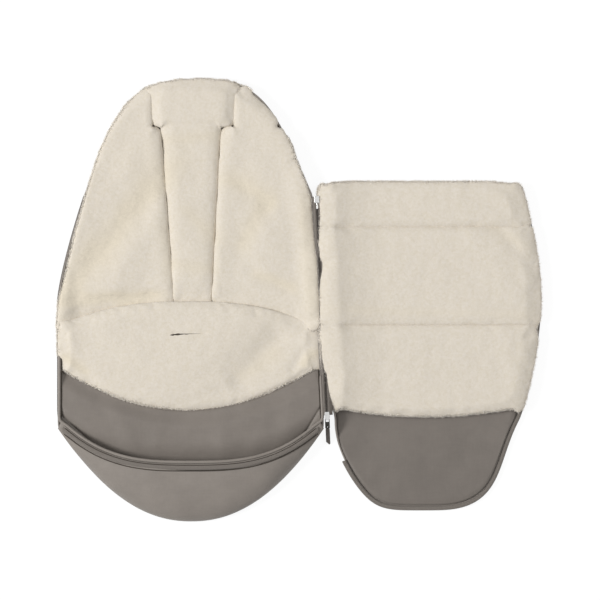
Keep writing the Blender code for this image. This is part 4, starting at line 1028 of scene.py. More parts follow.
# a line for the rows to follow; ups is one up direction, or one for each point
def lineObject(path, ups):
    if isinstance(ups, Vector):
        ups = [ups] * len(path)
    mesh = bpy.data.meshes.new("line")
    mesh.from_pydata([tuple(p) for p in path], [(n, n + 1) for n in range(len(path) - 1)], [])
    data = mesh.attributes.new("up", "FLOAT_VECTOR", "POINT")
    data.data.foreach_set("vector", [c for up in ups for c in up])
    obj = bpy.data.objects.new("line", mesh)
    bpy.context.scene.collection.objects.link(obj)
    return obj


def stitches(name, path, ups, body, stretch=1.0):
    line = lineObject(path, ups)
    longer = {"Pitch": stitch["Pitch"] * stretch, "Long": stitch["Long"] * stretch}
    growStitches.run(name, line, "thread", body, **{**stitch, **longer})
    bpy.data.objects.remove(line, do_unlink=True)


def teethRow(name, path, ups, body, side=tooth["Side"], length=tooth["Long"]):
    line = lineObject(path, ups)
    made = growTeeth.run(name, line, "teeth", body, **{**tooth, "Long": length, "Side": side})
    bpy.data.objects.remove(line, do_unlink=True)
    return made


seat = {"footY": -0.135, "footBow": 0.088}
crotch = {"x": -0.006, "y": -0.066, "halfLength": 0.045, "halfWidth": 0.008, "halfClosed": 0.031}


def isOuterBase(x, y):
    if y > base["shoulderY"]:
        share = clamp(abs(x - base["headMiddle"]) / base["shoulderHalf"])
        edge = base["shoulderY"] + base["headBow"] * (1.0 - share ** base["headPower"])
        return edge - y < 0.012 or share > 0.86
    return min(x - leftEdge(y), rightEdge(y) - x) < (0.016 if y > 0.02 else 0.0085)


slit = {
    "footY": -0.004,
    "leftFootY": 0.090,
    "topY": 0.346,
    "leftTopX": 0.066,
    "rightTopX": 0.057,
    "wingReach": 0.1,
    "centreReach": 1.0,
    "stepHalf": 0.004,
    "stepGap": 0.002,
}


def isStep(x, y):
    beyond = abs(x) - (slit["leftTopX"] if x < 0 else slit["rightTopX"])
    return abs(y - slit["topY"]) < slit["stepHalf"] and beyond > slit["stepGap"]


# the left slit closes to a plain seam at its foot
def onSlit(x, y):
    return (slit["footY"] if x > 0.0 else slit["leftFootY"]) < y < slit["topY"]


# the edge forms of a piece beside the slits: what the open stretch is, and how far out a slit may lie
def besideSlit(lips, reach):
    def edge(x, y):
        if isOuterBase(x, y):
            return "outer"
        if isStep(x, y):
            return "step"
        if slit["footY"] < y < slit["topY"] and abs(x) < slit[reach]:
            return lips if onSlit(x, y) else "closed"
        return "seam"

    return edge


def cushionEdge(x, y):
    if isOuterBase(x, y):
        return "outer"
    if abs(y - crotch["y"]) < crotch["halfWidth"] and abs(x - crotch["x"]) < crotch["halfLength"]:
        return "slot"
    return "seam" if y > -0.062 else "hem"


# the pile's lips meet over the crotch slot: 1 along the slot and 0 beside it
def slotClosed(x, y):
    return smooth((0.015 - slotDistance(x, y)) / 0.005)


def slotDistance(x, y):
    return math.hypot(max(0.0, abs(x - crotch["x"]) - crotch["halfClosed"]), y - crotch["y"])


# how far the pile spreads past each border of the base's fleece
def baseSpread(kind, x, y):
    if kind == "outer":
        return depthInside(baseLine, x, y) - bareAt(x, y)
    if kind == "hem":
        return -0.0016 - 0.0030 * smooth((x - 0.05) / 0.15)
    if kind == "seam":
        return lerp(0.0130, 0.0054, smooth((min(x - leftEdge(y), rightEdge(y) - x) - 0.010) / 0.020))
    return {"slit": 0.0082, "under": 0.0070, "closed": 0.0084, "step": 0.0022}[kind]


# painted shade: how dark the line is painted where two pieces of the base's fleece meet, for the shade in the crease
# between them: deepest in the step slots and at the head of the left slit
def baseCreaseShade(kind, x, y):
    if kind == "seam":
        return 0.16 if y > slit["topY"] else 0.03
    if kind == "slit":
        return read(((0.10, 0.0), (0.18, 0.10), (0.26, 0.30), (0.34, 0.75)), y) if x < 0.0 else 0.04
    if kind == "under":
        return read(((0.10, 0.0), (0.18, 0.06), (0.34, 0.40)), y) if x < 0.0 else 0.06
    return {"outer": 0.0, "closed": 0.03, "step": 0.85, "hem": 0.0}[kind]


# soft valleys and ridges in the pile: (start, end, width, height), in metres
folds = {
    "left": (
        ((-0.060, 0.250), (-0.225, 0.045), 0.026, -0.0040),
        ((-0.110, 0.300), (-0.225, 0.140), 0.030, 0.0014),
        ((-0.045, 0.205), (-0.150, 0.060), 0.028, 0.0028),
        ((-0.236, -0.002), (-0.095, 0.008), 0.012, -0.0042),
        ((-0.130, 0.022), (-0.060, 0.052), 0.016, -0.0020),
        ((-0.240, 0.060), (-0.225, -0.030), 0.012, -0.0016),
        ((-0.130, 0.330), (-0.170, 0.250), 0.018, -0.0010),
    ),
    "right": (
        ((0.080, 0.245), (0.150, 0.195), 0.022, -0.0026),
        ((0.140, 0.185), (0.095, 0.105), 0.020, -0.0022),
        ((0.150, 0.140), (0.150, 0.050), 0.034, 0.0024),
        ((0.120, 0.055), (0.185, 0.022), 0.012, -0.0022),
        ((0.185, 0.200), (0.215, 0.020), 0.016, -0.0010),
        ((0.120, 0.340), (0.170, 0.250), 0.020, -0.0008),
        ((0.055, 0.300), (0.050, 0.060), 0.010, 0.0022),
    ),
    "centre": (
        ((-0.050, 0.165), (0.045, 0.225), 0.020, 0.0014),
        ((-0.040, 0.095), (0.040, 0.070), 0.018, -0.0010),
    ),
    "seat": (
        ((0.095, -0.155), (0.165, -0.075), 0.030, -0.0062),
        ((0.020, -0.170), (0.120, -0.150), 0.016, 0.0012),
        ((0.222, -0.100), (0.200, -0.140), 0.010, -0.0020),
        ((-0.250, -0.105), (-0.205, -0.160), 0.012, -0.0026),
        ((-0.210, -0.120), (-0.060, -0.165), 0.024, -0.0012),
        ((-0.090, -0.050), (-0.020, -0.052), 0.012, -0.0014),
        ((-0.180, -0.060), (-0.100, -0.110), 0.030, 0.0012),
    ),
    "coverTop": (
        ((0.300, 0.190), (0.420, 0.205), 0.016, -0.0010),
        ((0.560, 0.205), (0.640, 0.170), 0.016, -0.0012),
    ),
    "coverMiddle": (
        ((0.610, 0.146), (0.665, 0.085), 0.012, -0.0026),
        ((0.560, 0.140), (0.630, 0.020), 0.026, 0.0016),
        ((0.300, 0.100), (0.420, 0.060), 0.030, 0.0012),
        ((0.360, 0.020), (0.500, -0.020), 0.026, -0.0012),
    ),
    "coverLower": (
        ((0.330, -0.110), (0.450, -0.150), 0.026, 0.0014),
        ((0.500, -0.080), (0.640, -0.130), 0.024, -0.0014),
        ((0.620, -0.060), (0.650, -0.180), 0.016, 0.0012),
    ),
}


# painted shade: where the pile lies in fold valleys and beside some seams it is painted warmer, for the warm shade
# there: (start, end, width, strength)
warmShadeAreas = (
    ((-0.062, 0.250), (-0.232, 0.040), 0.030, 1.0),
    ((-0.240, 0.000), (-0.090, 0.008), 0.013, 1.3),
    ((-0.060, 0.140), (-0.052, 0.050), 0.012, 0.5),
    ((-0.045, 0.318), (0.050, 0.330), 0.012, 0.6),
    ((-0.010, 0.175), (0.045, 0.125), 0.018, 0.6),
    ((-0.036, 0.070), (0.040, 0.060), 0.014, 0.6),
    ((0.074, 0.240), (0.150, 0.200), 0.022, 0.9),
    ((0.140, 0.190), (0.100, 0.115), 0.020, 0.8),
    ((0.130, 0.048), (0.195, 0.022), 0.012, 0.8),
    ((0.222, 0.180), (0.236, 0.000), 0.014, 0.6),
    ((-0.255, -0.118), (-0.215, -0.142), 0.010, 1.0),
    ((0.240, -0.105), (0.222, -0.130), 0.010, 1.0),
    ((0.100, -0.150), (0.165, -0.105), 0.020, 0.5),
    ((0.330, -0.020), (0.640, -0.030), 0.010, 0.4),
    ((0.600, 0.140), (0.660, 0.110), 0.014, 0.4),
)


def warmShadeAt(x, y):
    total = 0.0
    for a, b, width, strength in warmShadeAreas:
        off, along = beside(x, y, a, b)
        fade = smooth(1.0 - max(0.0, max(-along, along - 1.0)) * 2.5)
        total += strength * bell(off + 0.5 * width * wander(x, y, 0.0, 0.03, 12.0), width) * fade
    return clamp(total)


def foldHeight(table, x, y):
    total = 0.0
    for a, b, width, height in table:
        off, along = beside(x, y, a, b)
        fade = smooth(1.0 - max(0.0, max(-along, along - 1.0)) * 3.0)
        bend = 0.25 * width * wander(x, y, 0.0, 0.04, 9.0)
        total += height * bell(off + bend, width) * fade
    return total


def wingFold(side):
    def fold(x, y):
        toCentre = abs(x) - (0.040 + 0.07 * (y - 0.03))
        valley = -0.0010 * bell(toCentre - 0.045, 0.02)
        return foldHeight(folds[side], x, y) + valley

    return fold


def centreFold(x, y):
    start = lerp(0.12, 0.02, smooth((x + 0.03) / 0.06))
    low = -0.0042 * smooth((0.338 - y) / 0.02) * lerp(0.10, 1.0, smooth((y - start) / 0.22))
    head = 0.0034 * smooth((y - 0.350) / 0.012)
    return foldHeight(folds["centre"], x, y) + low + head + 0.0010


def seatFold(x, y):
    sag = -0.0016 * smooth((-0.13 - y + 0.25 * x * x) / 0.07)
    fall = -0.0090 * smooth((0.8 * x - y - 0.10) / 0.16)
    line = -0.0012 * bell(slotDistance(x, y), 0.0035)
    return foldHeight(folds["seat"], x, y) + sag + fall + line


# the pile stands up beside the zip and leans over its tape, and over the wall beside the seat
baseLifts = {
    "right": {"height": 0.0088, "width": 0.024, "head": 0.115, "headRun": 0.035, "foot": -0.155, "footRun": 0.030},
    "left": {"height": 0.0064, "width": 0.024, "head": 0.030, "headRun": 0.030, "foot": -0.124, "footRun": 0.018},
    "corner": {"height": 0.0100, "y": -0.046, "along": 0.009, "across": 0.013},
}


def sideLift(form, away, y):
    head = smooth((form["head"] - y) / form["headRun"])
    return form["height"] * bell(away, form["width"]) * head * smooth((y - form["foot"]) / form["footRun"])


def baseLift(x, y):
    form = baseLifts["corner"]
    corner = form["height"] * bell(y - form["y"], form["along"]) * bell(rightEdge(y) - x, form["across"])
    right = sideLift(baseLifts["right"], rightEdge(y) - x, y)
    return right + sideLift(baseLifts["left"], x - leftEdge(y), y) + corner


# painted shade of the crotch slot: a dark cord laid where the pile's lips part at one end, standing in for the shade
# inside: (across, where it runs, half width)
slotShade = (
    (-0.0460, -0.0705, 0.0005), (-0.0430, -0.0698, 0.0010), (-0.0395, -0.0696, 0.0019), (-0.0370, -0.0694, 0.0013),
    (-0.0310, -0.0690, 0.0024), (-0.0270, -0.0686, 0.0016), (-0.0190, -0.0680, 0.0007), (-0.0130, -0.0682, 0.0010),
    (-0.0080, -0.0676, 0.0005), (0.0040, -0.0674, 0.0003), (0.0160, -0.0670, 0.0001),
)


def makeSlotShade(pad):
    bpy.context.view_layer.update()
    path = []
    for x in steps(48, slotShade[0][0], slotShade[-1][0]):
        y = read(slotShade, x)
        touch = pad.ray_cast(Vector((x, y, 0.2)), -upward)[1]
        path.append(Vector((x, y, touch.z + 0.0001)))
    shade = tube("slotShade", relax(path, 2, closed=False), 0.001, "crease", 8, 0.35, 0.35,
                 lambda x: 1000.0 * read(slotShade, x, 2))
    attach(shade, "base")


def makeBaseFleece():
    made = [
        makePad("leftWing", "left_wing_fleece", "base", besideSlit("slit", "wingReach"), baseSpread, wingFold("left"),
                baseCreaseShade, lift=baseLift),
        makePad("rightWing", "right_wing_fleece", "base", besideSlit("slit", "wingReach"), baseSpread,
                wingFold("right"), baseCreaseShade, lift=baseLift),
        makePad("centrePanel", "centre_panel_fleece", "base", besideSlit("under", "centreReach"), baseSpread,
                centreFold, baseCreaseShade),
        makePad("seatCushion", "seat_cushion_fleece", "base", cushionEdge, baseSpread, seatFold, baseCreaseShade, limit=0.006,
                lift=baseLift, closed=slotClosed),
    ]
    for pad in made:
        growTufts.run(pad.name + "Pile", pad, "tips", "base", Seed=len(pad.name))
    makeSlotShade(made[3])


foot = {
    "liningLow": 0.0137,
    "liningThick": 0.0011,
    "fill": 0.0182,
    "pillow": 0.0036,
    "sideWidth": 0.070,
    "pocketStart": 0.030,
    "pocketRun": 0.075,
    "hemRun": 0.034,
    "hemShare": 0.56,
    "inset": 0.0048,
    "sideInset": 0.0056,
    "underToe": 0.013,
    "underSeat": 0.030,
}


def seatFoot(share):
    return baseArc(share, seat["footY"], -seat["footBow"], 2.0, foot["inset"])


def shareAcross(x, y):
    return clamp(2.0 * (x - leftEdge(y)) / (rightEdge(y) - leftEdge(y)) - 1.0, -1.0, 1.0)


# the padded foot end stands nearly as high as its walls, and dips under the toe's rim and under the seat's hem
def liningTop(x, y):
    near = min(x - leftEdge(y, 0.0055), rightEdge(y, 0.0055) - x)
    share = shareAcross(x, max(y, base["cornerY"]))
    lip = rim["cornerY"] - rim["bow"] * (1.0 - abs(share) ** rim["power"])
    hem = seat["footY"] - seat["footBow"] * (1.0 - share ** 2)
    risen = smooth((y - lip + foot["pocketStart"]) / foot["pocketRun"])
    full = foot["fill"] + foot["pillow"] * smooth(near / foot["sideWidth"])
    full *= lerp(foot["hemShare"], 1.0, smooth((hem - y) / foot["hemRun"]))
    soft = 0.0012 * wander(x, y, 0.0, 0.06, 4.0) + 0.0005 * wander(x, y, 0.0, 0.022, 6.0)
    pulls = 0.0016 * bell(x + 0.150 + 0.4 * (y + 0.23), 0.020) + 0.0014 * bell(x - 0.060, 0.018)
    pulls += 0.0013 * bell(x + 0.060 - 0.2 * (y + 0.23), 0.016) - 0.0012 * bell(x - 0.165, 0.022)
    return full * risen + soft + pulls * smooth((-0.15 - y) / 0.05)


# where the lining turns up into the corners of the foot pocket: crease lines, and the slope beyond them
gussets = (
    {"from": (-0.262, -0.232), "to": (-0.216, -0.274), "side": -1.0, "slope": 0.42, "most": 0.008},
    {"from": (0.254, -0.216), "to": (0.224, -0.266), "side": 1.0, "slope": 0.50, "most": 0.009},
)


def gussetRise(x, y):
    rise = 0.0
    for g in gussets:
        off, along = beside(x, y, g["from"], g["to"])
        past = g["side"] * off
        if past > -0.012:
            crease = -0.0020 * bell(past, 0.0020)
            rise += (crease + min(g["most"], max(0.0, past) * g["slope"])) * smooth(1.6 - abs(along - 0.5) * 1.6)
    return rise


def makeFootLining():
    def point(u, v, side):
        share = 2.0 * u - 1.0
        low = toeArc(share, foot["inset"]) + Vector((0.0, foot["underToe"], 0.0))
        high = seatFoot(share) + Vector((0.0, foot["underSeat"], 0.0))
        p = low.lerp(high, v)
        p.x = clamp(p.x, leftEdge(p.y, foot["sideInset"]), rightEdge(p.y, foot["sideInset"]))
        under = smooth((p.y - seatFoot(share).y + 0.002) / 0.012)
        z = foot["liningLow"] + (1.2 if side else 0.0) * foot["liningThick"]
        return Vector((p.x, p.y, z + (liningTop(p.x, p.y) + gussetRise(p.x, p.y)) * (1.0 - under)))

    lining = slab("footLining", point, steps(150), steps(84), "lining")
    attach(lining, "base")
    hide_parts("foot_lining")


rim = {
    "inset": 0.006,
    "cornerY": -0.244,
    "bow": 0.0825,
    "power": 3.0,
    "cornerHeight": 0.0368,
    "topHeight": 0.0580,
    "panelThick": 0.0068,
    "liningInset": 0.0072,
    "fullRise": 0.020,
    "pipingRadius": 0.0029,
    "tapeStart": 0.0034,
    "tapeWidth": 0.0120,
}


def rimPlace(u):
    return baseArc(2.0 * u - 1.0, rim["cornerY"], -rim["bow"], rim["power"], rim["inset"])


def rimHeight(u):
    return lerp(rim["topHeight"], rim["cornerHeight"], abs(2.0 * u - 1.0) ** 2)


def toePoint(u, turn, depth):
    lip = rimPlace(u)
    edge = toeArc(2.0 * u - 1.0)
    reach = (edge - lip).length
    rise = rimHeight(u) - wallHeight(edge.y)
    inward = depth * (clamp(rise / rim["fullRise"]) if depth > 0.0 else 1.0)
    plan = lip + (edge - lip) * (math.cos(turn) * (1.0 - inward / reach))
    seatPlace = lip + (edge - lip) * (1.0 - inward / reach)
    low = wallHeight(seatPlace.y) + 0.0006
    return Vector((plan.x, plan.y, lerp(low, rimHeight(u) - inward, math.sin(turn))))


# slack in the toe panel: a long soft fold below the tape, and gathers that run down from it. Each is
# (height, how far below the rim, width)
slack = {
    "crease": (-0.0040, 0.036, 0.008),
    "upper": (0.0022, 0.022, 0.008),
    "lower": (0.0016, 0.054, 0.010),
    "broad": (0.0022, 0.075),
    "fine": (0.0006, 0.030),
}


def toeSlack(p, u, turn):
    down = (rimPlace(u) - p).length

    def ridge(label):
        height, where, width = slack[label]
        return height * bell(down - where, width)

    middle = smooth(1.0 - abs(2.0 * u - 1.0) * 1.05)
    crease = ridge("crease") * smooth((u - 0.14) / 0.15) * smooth((0.86 - u) / 0.2)
    swell = ridge("upper") * middle + ridge("lower") * middle
    broad = slack["broad"][0] * wander(p.x, p.y, p.z, slack["broad"][1], 8.0)
    broad += slack["fine"][0] * wander(p.x, p.y * 2.0, p.z, slack["fine"][1], 3.0)
    return (crease + swell + broad) * smooth(math.sin(turn) * 2.2) * smooth((math.pi / 2.0 - turn) * 6.0)


def toeNormal(u, turn):
    a = toePoint(u, min(turn + 0.02, math.pi / 2.0), 0.0) - toePoint(u, max(turn - 0.02, 0.0), 0.0)
    b = toePoint(min(u + 0.005, 1.0), turn, 0.0) - toePoint(max(u - 0.005, 0.0), turn, 0.0)
    normal = b.cross(a)
    return normal.normalized() if normal.length > 1e-9 else Vector((0.0, -1.0, 0.0))


def makeToe():
    def outer(u, v, side):
        turn = v * math.pi / 2.0
        p = toePoint(u, turn, 0.0 if side else rim["panelThick"])
        if not side:
            return p
        fade = smooth(u / 0.04) * smooth((1.0 - u) / 0.04)
        return p + toeNormal(u, turn) * toeSlack(p, u, turn) * fade

    toe = slab("toePanel", outer, steps(180, 0.001, 0.999), steps(44), "shell")
    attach(toe, "base")
    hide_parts("toe_panel", "toe_wadding")

    def inner(u, v, side):
        turn = v * math.pi / 2.0
        return toePoint(u, turn, rim["liningInset"] + (0.0 if side else 0.0012))

    lining = slab("toeLining", inner, steps(140, 0.001, 0.999), steps(24), "lining")
    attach(lining, "base")
    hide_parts("toe_lining")


def besideRim(u, shift):
    ahead = rimPlace(min(1.0, u + 0.01)) - rimPlace(max(0.0, u - 0.01))
    return rimPlace(u) + Vector((-ahead.y, ahead.x, 0.0)).normalized() * shift


def pipingPath():
    side = base["wall"] + 0.0018
    lift = rim["pipingRadius"] + 0.0006
    # above the pocket the fleece lies over the roll
    left = [Vector((leftEdge(y, 0.0034), y, side - 0.0052 * smooth((y + 0.122) / 0.018)))
            for y in steps(60, -0.050, rim["cornerY"])[:-1]]
    toe = []
    for u in steps(110)[2:-2]:
        p = besideRim(u, lift)
        toe.append(Vector((p.x, p.y, max(rimHeight(u), side))))
    right = [Vector((rightEdge(y, 0.0020), y, side)) for y in steps(22, rim["cornerY"], -0.150)[1:]]
    return relax(resample(left + toe + right, 0.0035), 3, closed=False)


def makeRim():
    path = pipingPath()
    piping = tube("rimPiping", path, rim["pipingRadius"], "shell", 12, ripple=0.10)
    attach(piping, "base")
    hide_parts("rim_piping")
    inside = []
    for p, tangent, side, up in pathFrames(path[30:-20]):
        inside.append((p - side * 0.0022 - upward * 0.0012, -side))
    stitches("rimStitches", *zip(*inside), "base", stretch=1.125)
    # painted shade: dark cords along the walls beside the piping stand in for the shade in the crease there
    for name, edge, inset, ends in (
        ("rimCreaseLeft", leftEdge, 0.0076, (-0.236, -0.112)),
        ("rimCreaseRight", rightEdge, 0.0062, (-0.228, -0.140)),
    ):
        line = [Vector((edge(y, inset), y, base["wall"] + 0.0006)) for y in steps(40, *ends)]
        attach(tube(name, line, 0.0010, "crease", 8), "base")


# the turn at which the toe panel is a given reach away from the lip
def turnAt(u, reach):
    whole = (toeArc(2.0 * u - 1.0) - rimPlace(u)).length
    return math.acos(min(0.93, reach / whole))


toeTape = {"end": 0.012, "gap": 0.0005, "thick": 0.0009, "belly": 0.0011, "soft": 0.0004, "stitchRise": 0.0018}


def makeToeTape():
    def point(w, v, side):
        u = lerp(toeTape["end"], 1.0 - toeTape["end"], v)
        turn = turnAt(u, lerp(rim["tapeStart"], rim["tapeWidth"], w))
        belly = toeTape["belly"] * math.sin(math.pi * w)
        soft = toeTape["soft"] * wander(u * 4.0, w, 0.0, 0.2, 2.0)
        return toePoint(u, turn, -toeTape["gap"] - (toeTape["thick"] + belly if side else 0.0) - soft)

    tape = slab("toeTape", point, steps(8), steps(190), "tape")
    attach(tape, "base")
    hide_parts("base_zip_tape_toe")
    path, ups = [], []
    for u in steps(120, 0.03, 0.97):
        turn = turnAt(u, rim["tapeWidth"] + 0.0006)
        path.append(toePoint(u, turn, -0.0006))
        ups.append(toeNormal(u, turn))
    teeth = teethRow("toeTeeth", path, ups, "base", side=-0.5, length=0.0016)
    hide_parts("base_zip_coil_toe")
    # painted shade: dark cords along the tape's upper and lower edges stand in for the shade in the creases there
    for reach, label, radius in (
        (rim["tapeStart"] - 0.0008, "Upper", 0.0008),
        (rim["tapeWidth"] + 0.0022, "Lower", 0.0010),
    ):
        line = []
        for u in steps(150, 0.02, 0.98):
            turn = turnAt(u, reach)
            slack = max(0.0, toeSlack(toePoint(u, turn, 0.0), u, turn))
            line.append(toePoint(u, turn, -0.0004) + toeNormal(u, turn) * slack)
        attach(tube("toeCrease" + label, line, radius, "crease", 6), "base")
    for share, label in ((0.16, "Outer"), (0.86, "Inner")):
        line = []
        for u in steps(150, 0.04, 0.96):
            turn = turnAt(u, lerp(rim["tapeStart"], rim["tapeWidth"], share))
            line.append((toePoint(u, turn, -toeTape["stitchRise"]), toeNormal(u, turn)))
        stitches("toeTapeStitches" + label, *zip(*line), "base")


leftTape = {
    "footGap": 0.010,
    "headY": 0.208,
    "out": 0.0003,
    "tuck": 0.0016,
    "tuckGap": 0.040,
    "tuckRun": 0.030,
    "thick": 0.0006,
    "top": 0.0006,
    "width": 0.0116,
    "teethDrop": 0.0132,
    "stitchRise": 0.0008,
}


def makeLeftTape():
    ys = steps(120, base["cornerY"] + leftTape["footGap"], leftTape["headY"])
    outward = Vector((-1.0, 0.0, 0.0))

    # the tape lies flat on the wall and tucks round the corner at its foot
    def out(y):
        tucked = smooth((base["cornerY"] + leftTape["tuckGap"] - y) / leftTape["tuckRun"])
        return leftTape["out"] - leftTape["tuck"] * tucked

    def point(u, v, side):
        y = lerp(ys[0], ys[-1], v)
        x = leftEdge(y) - out(y) + u * leftTape["thick"] - (0.0 if side == 0 else leftTape["thick"])
        return Vector((x, y, base["wall"] - leftTape["top"] - u * leftTape["width"]))

    tape = slab("leftTape", point, steps(6), steps(110), "tape")
    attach(tape, "base")
    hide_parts("base_zip_tape_left")
    path = [Vector((leftEdge(y) - out(y) + 0.0002, y, base["wall"] - leftTape["teethDrop"])) for y in ys]
    teeth = teethRow("leftTeeth", path, outward, "base")
    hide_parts("base_zip_coil_left")
    for low, label in ((0.0022, "Upper"), (0.0098, "Lower")):
        line = [Vector((leftEdge(y) - out(y) - leftTape["stitchRise"], y, base["wall"] - low)) for y in ys]
        stitches("leftTapeStitches" + label, line, outward, "base")


# a tape along the closed zip, its section given as (distance from the teeth, height) pairs
def zipStrip(name, offsets, top):
    def point(u, v, side):
        along = lerp(-closure["halfLength"], top, v)
        at = u * (len(offsets) - 1)
        n = min(int(at), len(offsets) - 2)
        across, z = [lerp(offsets[n][k], offsets[n + 1][k], at - n) for k in (0, 1)]
        ripple = 0.0003 * wander(along, across * 3.0, 0.0, 0.02, 6.0)
        p = zipPlace(across, along)
        return Vector((p.x, p.y, z + ripple + (closure["tapeThick"] if side else 0.0)))

    return slab(name, point, steps(12), steps(120), "tape")


def makeZip():
    flat = zipMiddle.z - closure["tapeDrop"]
    topEnd = closure["halfLength"] - closure["topGap"]
    inner = [(-0.0003, flat - 0.0012), (-0.0028, flat), (-0.0052, flat), (-0.0066, flat - 0.0030), (-0.0074, 0.0336),
             (-0.0098, 0.0332)]
    tape = zipStrip("zipTapeBase", inner, topEnd)
    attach(tape, "base")
    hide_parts("base_zip_tape_right")
    outer = [(0.0003, flat - 0.0012), (0.0028, flat), (0.0052, flat), (0.0074, flat - 0.0022), (0.0092, 0.0345),
             (0.0114, 0.0332)]
    hingeTape = zipStrip("zipTapeCover", outer, topEnd)
    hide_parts("cover_zip_tape_hinge")
    tuple(zipPlace(closure["bendStart"], 0.0))
    tuple(zipPlace(closure["bendEnd"], 0.0))
    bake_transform(hingeTape)
    low = -closure["halfLength"] + closure["footGap"]
    high = closure["halfLength"] - closure["chainStart"]
    for side, shift, label in ((-1.0, 0.0, "Base"), (1.0, closure["rowShift"], "Cover")):
        path = [zipPlace(side * closure["teethAcross"], a + shift) for a in steps(60, low, high)]
        teeth = teethRow("zipTeeth" + label, path, upward, "base", side=-0.5 * side, length=0.0026)
        if side < 0.0:
            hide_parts("closed_zip_chain")
    row = [zipPlace(closure["stitchAcross"], a, closure["stitchRise"]) for a in steps(80, low, topEnd)]
    stitches("zipStitchesBase", row, upward, "base")


cover = {
    "topY": 0.240,
    "cornerY": -0.235,
    "farX": 0.698,
    "bulge": 0.043,
    "bulgePower": 1.75,
    "topBow": 0.014,
    "topPower": 10.0,
    "footBow": 0.187,
    "footPower": 4.0,
    "footLean": 0.056,
    "tipLean": 0.010,
    "wall": 0.0075,
    "fade": 0.060,
    "hold": 0.012,
    "tapeInset": 0.0060,
    "cornerRun": 0.030,
    "upperSeam": 0.146,
    "lowerSeam": -0.050,
    "fleeceFoot": -0.214,
    "fleeceBow": 0.020,
    "floorTop": 0.0088,
    "bottomRound": 0.004,
    "wallThick": 0.0036,
    "middle": (0.478, -0.080),
}


def coverLeft(y, inset=0.0):
    drawn = cover["tapeInset"] * clamp(1.0 - (y - cover["cornerY"]) / cover["cornerRun"])
    return zipX(y) + closure["coverGap"] + inset + drawn


def coverRight(y, inset=0.0):
    return cover["farX"] - cover["bulge"] * (abs(y) / cover["topY"]) ** cover["bulgePower"] - inset


def coverWall(x, y):
    away = x - zipX(y) - closure["coverGap"]
    below = (cover["cornerY"] - y) / cover["fade"]
    near = 1.0 - smooth(max((away - cover["hold"]) / cover["fade"], below))
    return lerp(cover["wall"], base["wall"], near)


# how far the foot's curve leans back to the zip side, as its far corner is the rounder one
def footLean(side):
    drop = 1.0 - side ** cover["footPower"]
    return cover["footLean"] * drop * (1.0 - drop) ** 2 + cover["tipLean"] * drop ** 8


def coverFoot(share, inset):
    left, right = coverLeft(cover["cornerY"], inset), coverRight(cover["cornerY"], inset + cover["tapeInset"])
    drop = (cover["footBow"] - cover["tapeInset"] - inset) * (1.0 - abs(share) ** cover["footPower"])
    return Vector((lerp(left, right, (share + 1.0) / 2.0) - footLean(abs(share)), cover["cornerY"] - drop, 0.0))


def coverOutline(spacing):
    low, high = cover["cornerY"], cover["topY"] - cover["topBow"]
    left = [Vector((coverLeft(y), y, 0.0)) for y in steps(40, low, high)]
    top = []
    for s in steps(50, -1.0, 1.0):
        y = high + cover["topBow"] * (1.0 - abs(s) ** cover["topPower"])
        top.append(Vector((lerp(coverLeft(high), coverRight(high, cover["tapeInset"]), (s + 1.0) / 2.0), y, 0.0)))
    right = [Vector((coverRight(y, cover["tapeInset"]), y, 0.0)) for y in steps(40, high, low)]
    turn = [coverFoot(math.copysign(abs(s) ** 0.5, s), 0.0) for s in steps(70, 1.0, -1.0)]
    return relax(resample(left + top[1:] + right[1:] + turn[1:-1], spacing, closed=True), 4)


coverLine = np.array([tuple(p.xy) for p in coverOutline(0.0015)])


def coverTuck(x, y):
    return smooth((y - cover["topY"] + 0.040) / 0.020) * smooth((x - zipX(y) - 0.014) / 0.010)


def makeCoverShell():
    shell = shellBody("coverShell", coverOutline(shellForm["spacing"]), coverWall, coverTuck, cover)
    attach(shell, "cover")
    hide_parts("cover_outer_shell", "cover_wadding")


def toSeam(y):
    return min(abs(y - cover["upperSeam"]), abs(y - cover["lowerSeam"]))


def coverEdge(x, y):
    if y < -0.19 and coverLeft(y) + 0.012 < x < coverRight(y) - 0.018:
        return "hem"
    inside = coverLeft(y) + 0.0075 < x < coverRight(y) - 0.014
    return "seam" if toSeam(y) < 0.004 and inside else "outer"


# where the cover's pile ends beside the zip's line, at heights along it: it hangs over the zip in the middle
coverHang = (
    (-0.222, 0.0092), (-0.214, 0.0070), (-0.200, 0.0032), (-0.184, 0.0000), (-0.160, -0.0042), (-0.130, -0.0080),
    (-0.090, -0.0096), (0.000, -0.0092), (0.045, -0.0066), (0.078, -0.0050), (0.110, -0.0022), (0.150, 0.0002),
    (0.220, 0.0010),
)


# how far the pile spreads past each border of the cover's fleece: over the tape along the far side
def coverSpread(kind, x, y):
    if kind == "outer":
        if x > coverRight(y) - 0.035 and y < cover["topY"] - 0.012:
            return depthInside(coverLine, x, y) + 0.0084 - 0.0060 * bell(y + 0.060, 0.012)
        if y > cover["topY"] - 0.016 and x > coverLeft(y) + 0.0056:
            return depthInside(coverLine, x, y) - 0.0010
        return x - zipX(y) - read(coverHang, y)
    if kind == "seam":
        return lerp(0.0150, 0.0036, smooth((x - coverLeft(y) - 0.010) / 0.024))
    return 0.0020


# painted shade: the cover's seams are painted a little darker, unevenly along them, for the shade in their creases
def coverCreaseShade(kind, x, y):
    return 0.12 + 0.12 * wander(x, y, 0.0, 0.03, 4.0) if kind == "seam" else 0.0


# the cover is drawn up towards the zip, and its pile closes over the seams' ends there
coverLifts = {
    "height": 0.0125,
    "run": 0.130,
    "ridge": 0.0036,
    "ridgeAt": 0.0138,
    "ridgeWidth": 0.036,
    "footRun": 0.06,
    "corner": 0.0130,
    "cornerAt": 0.003,
    "along": 0.009,
    "across": 0.013,
}


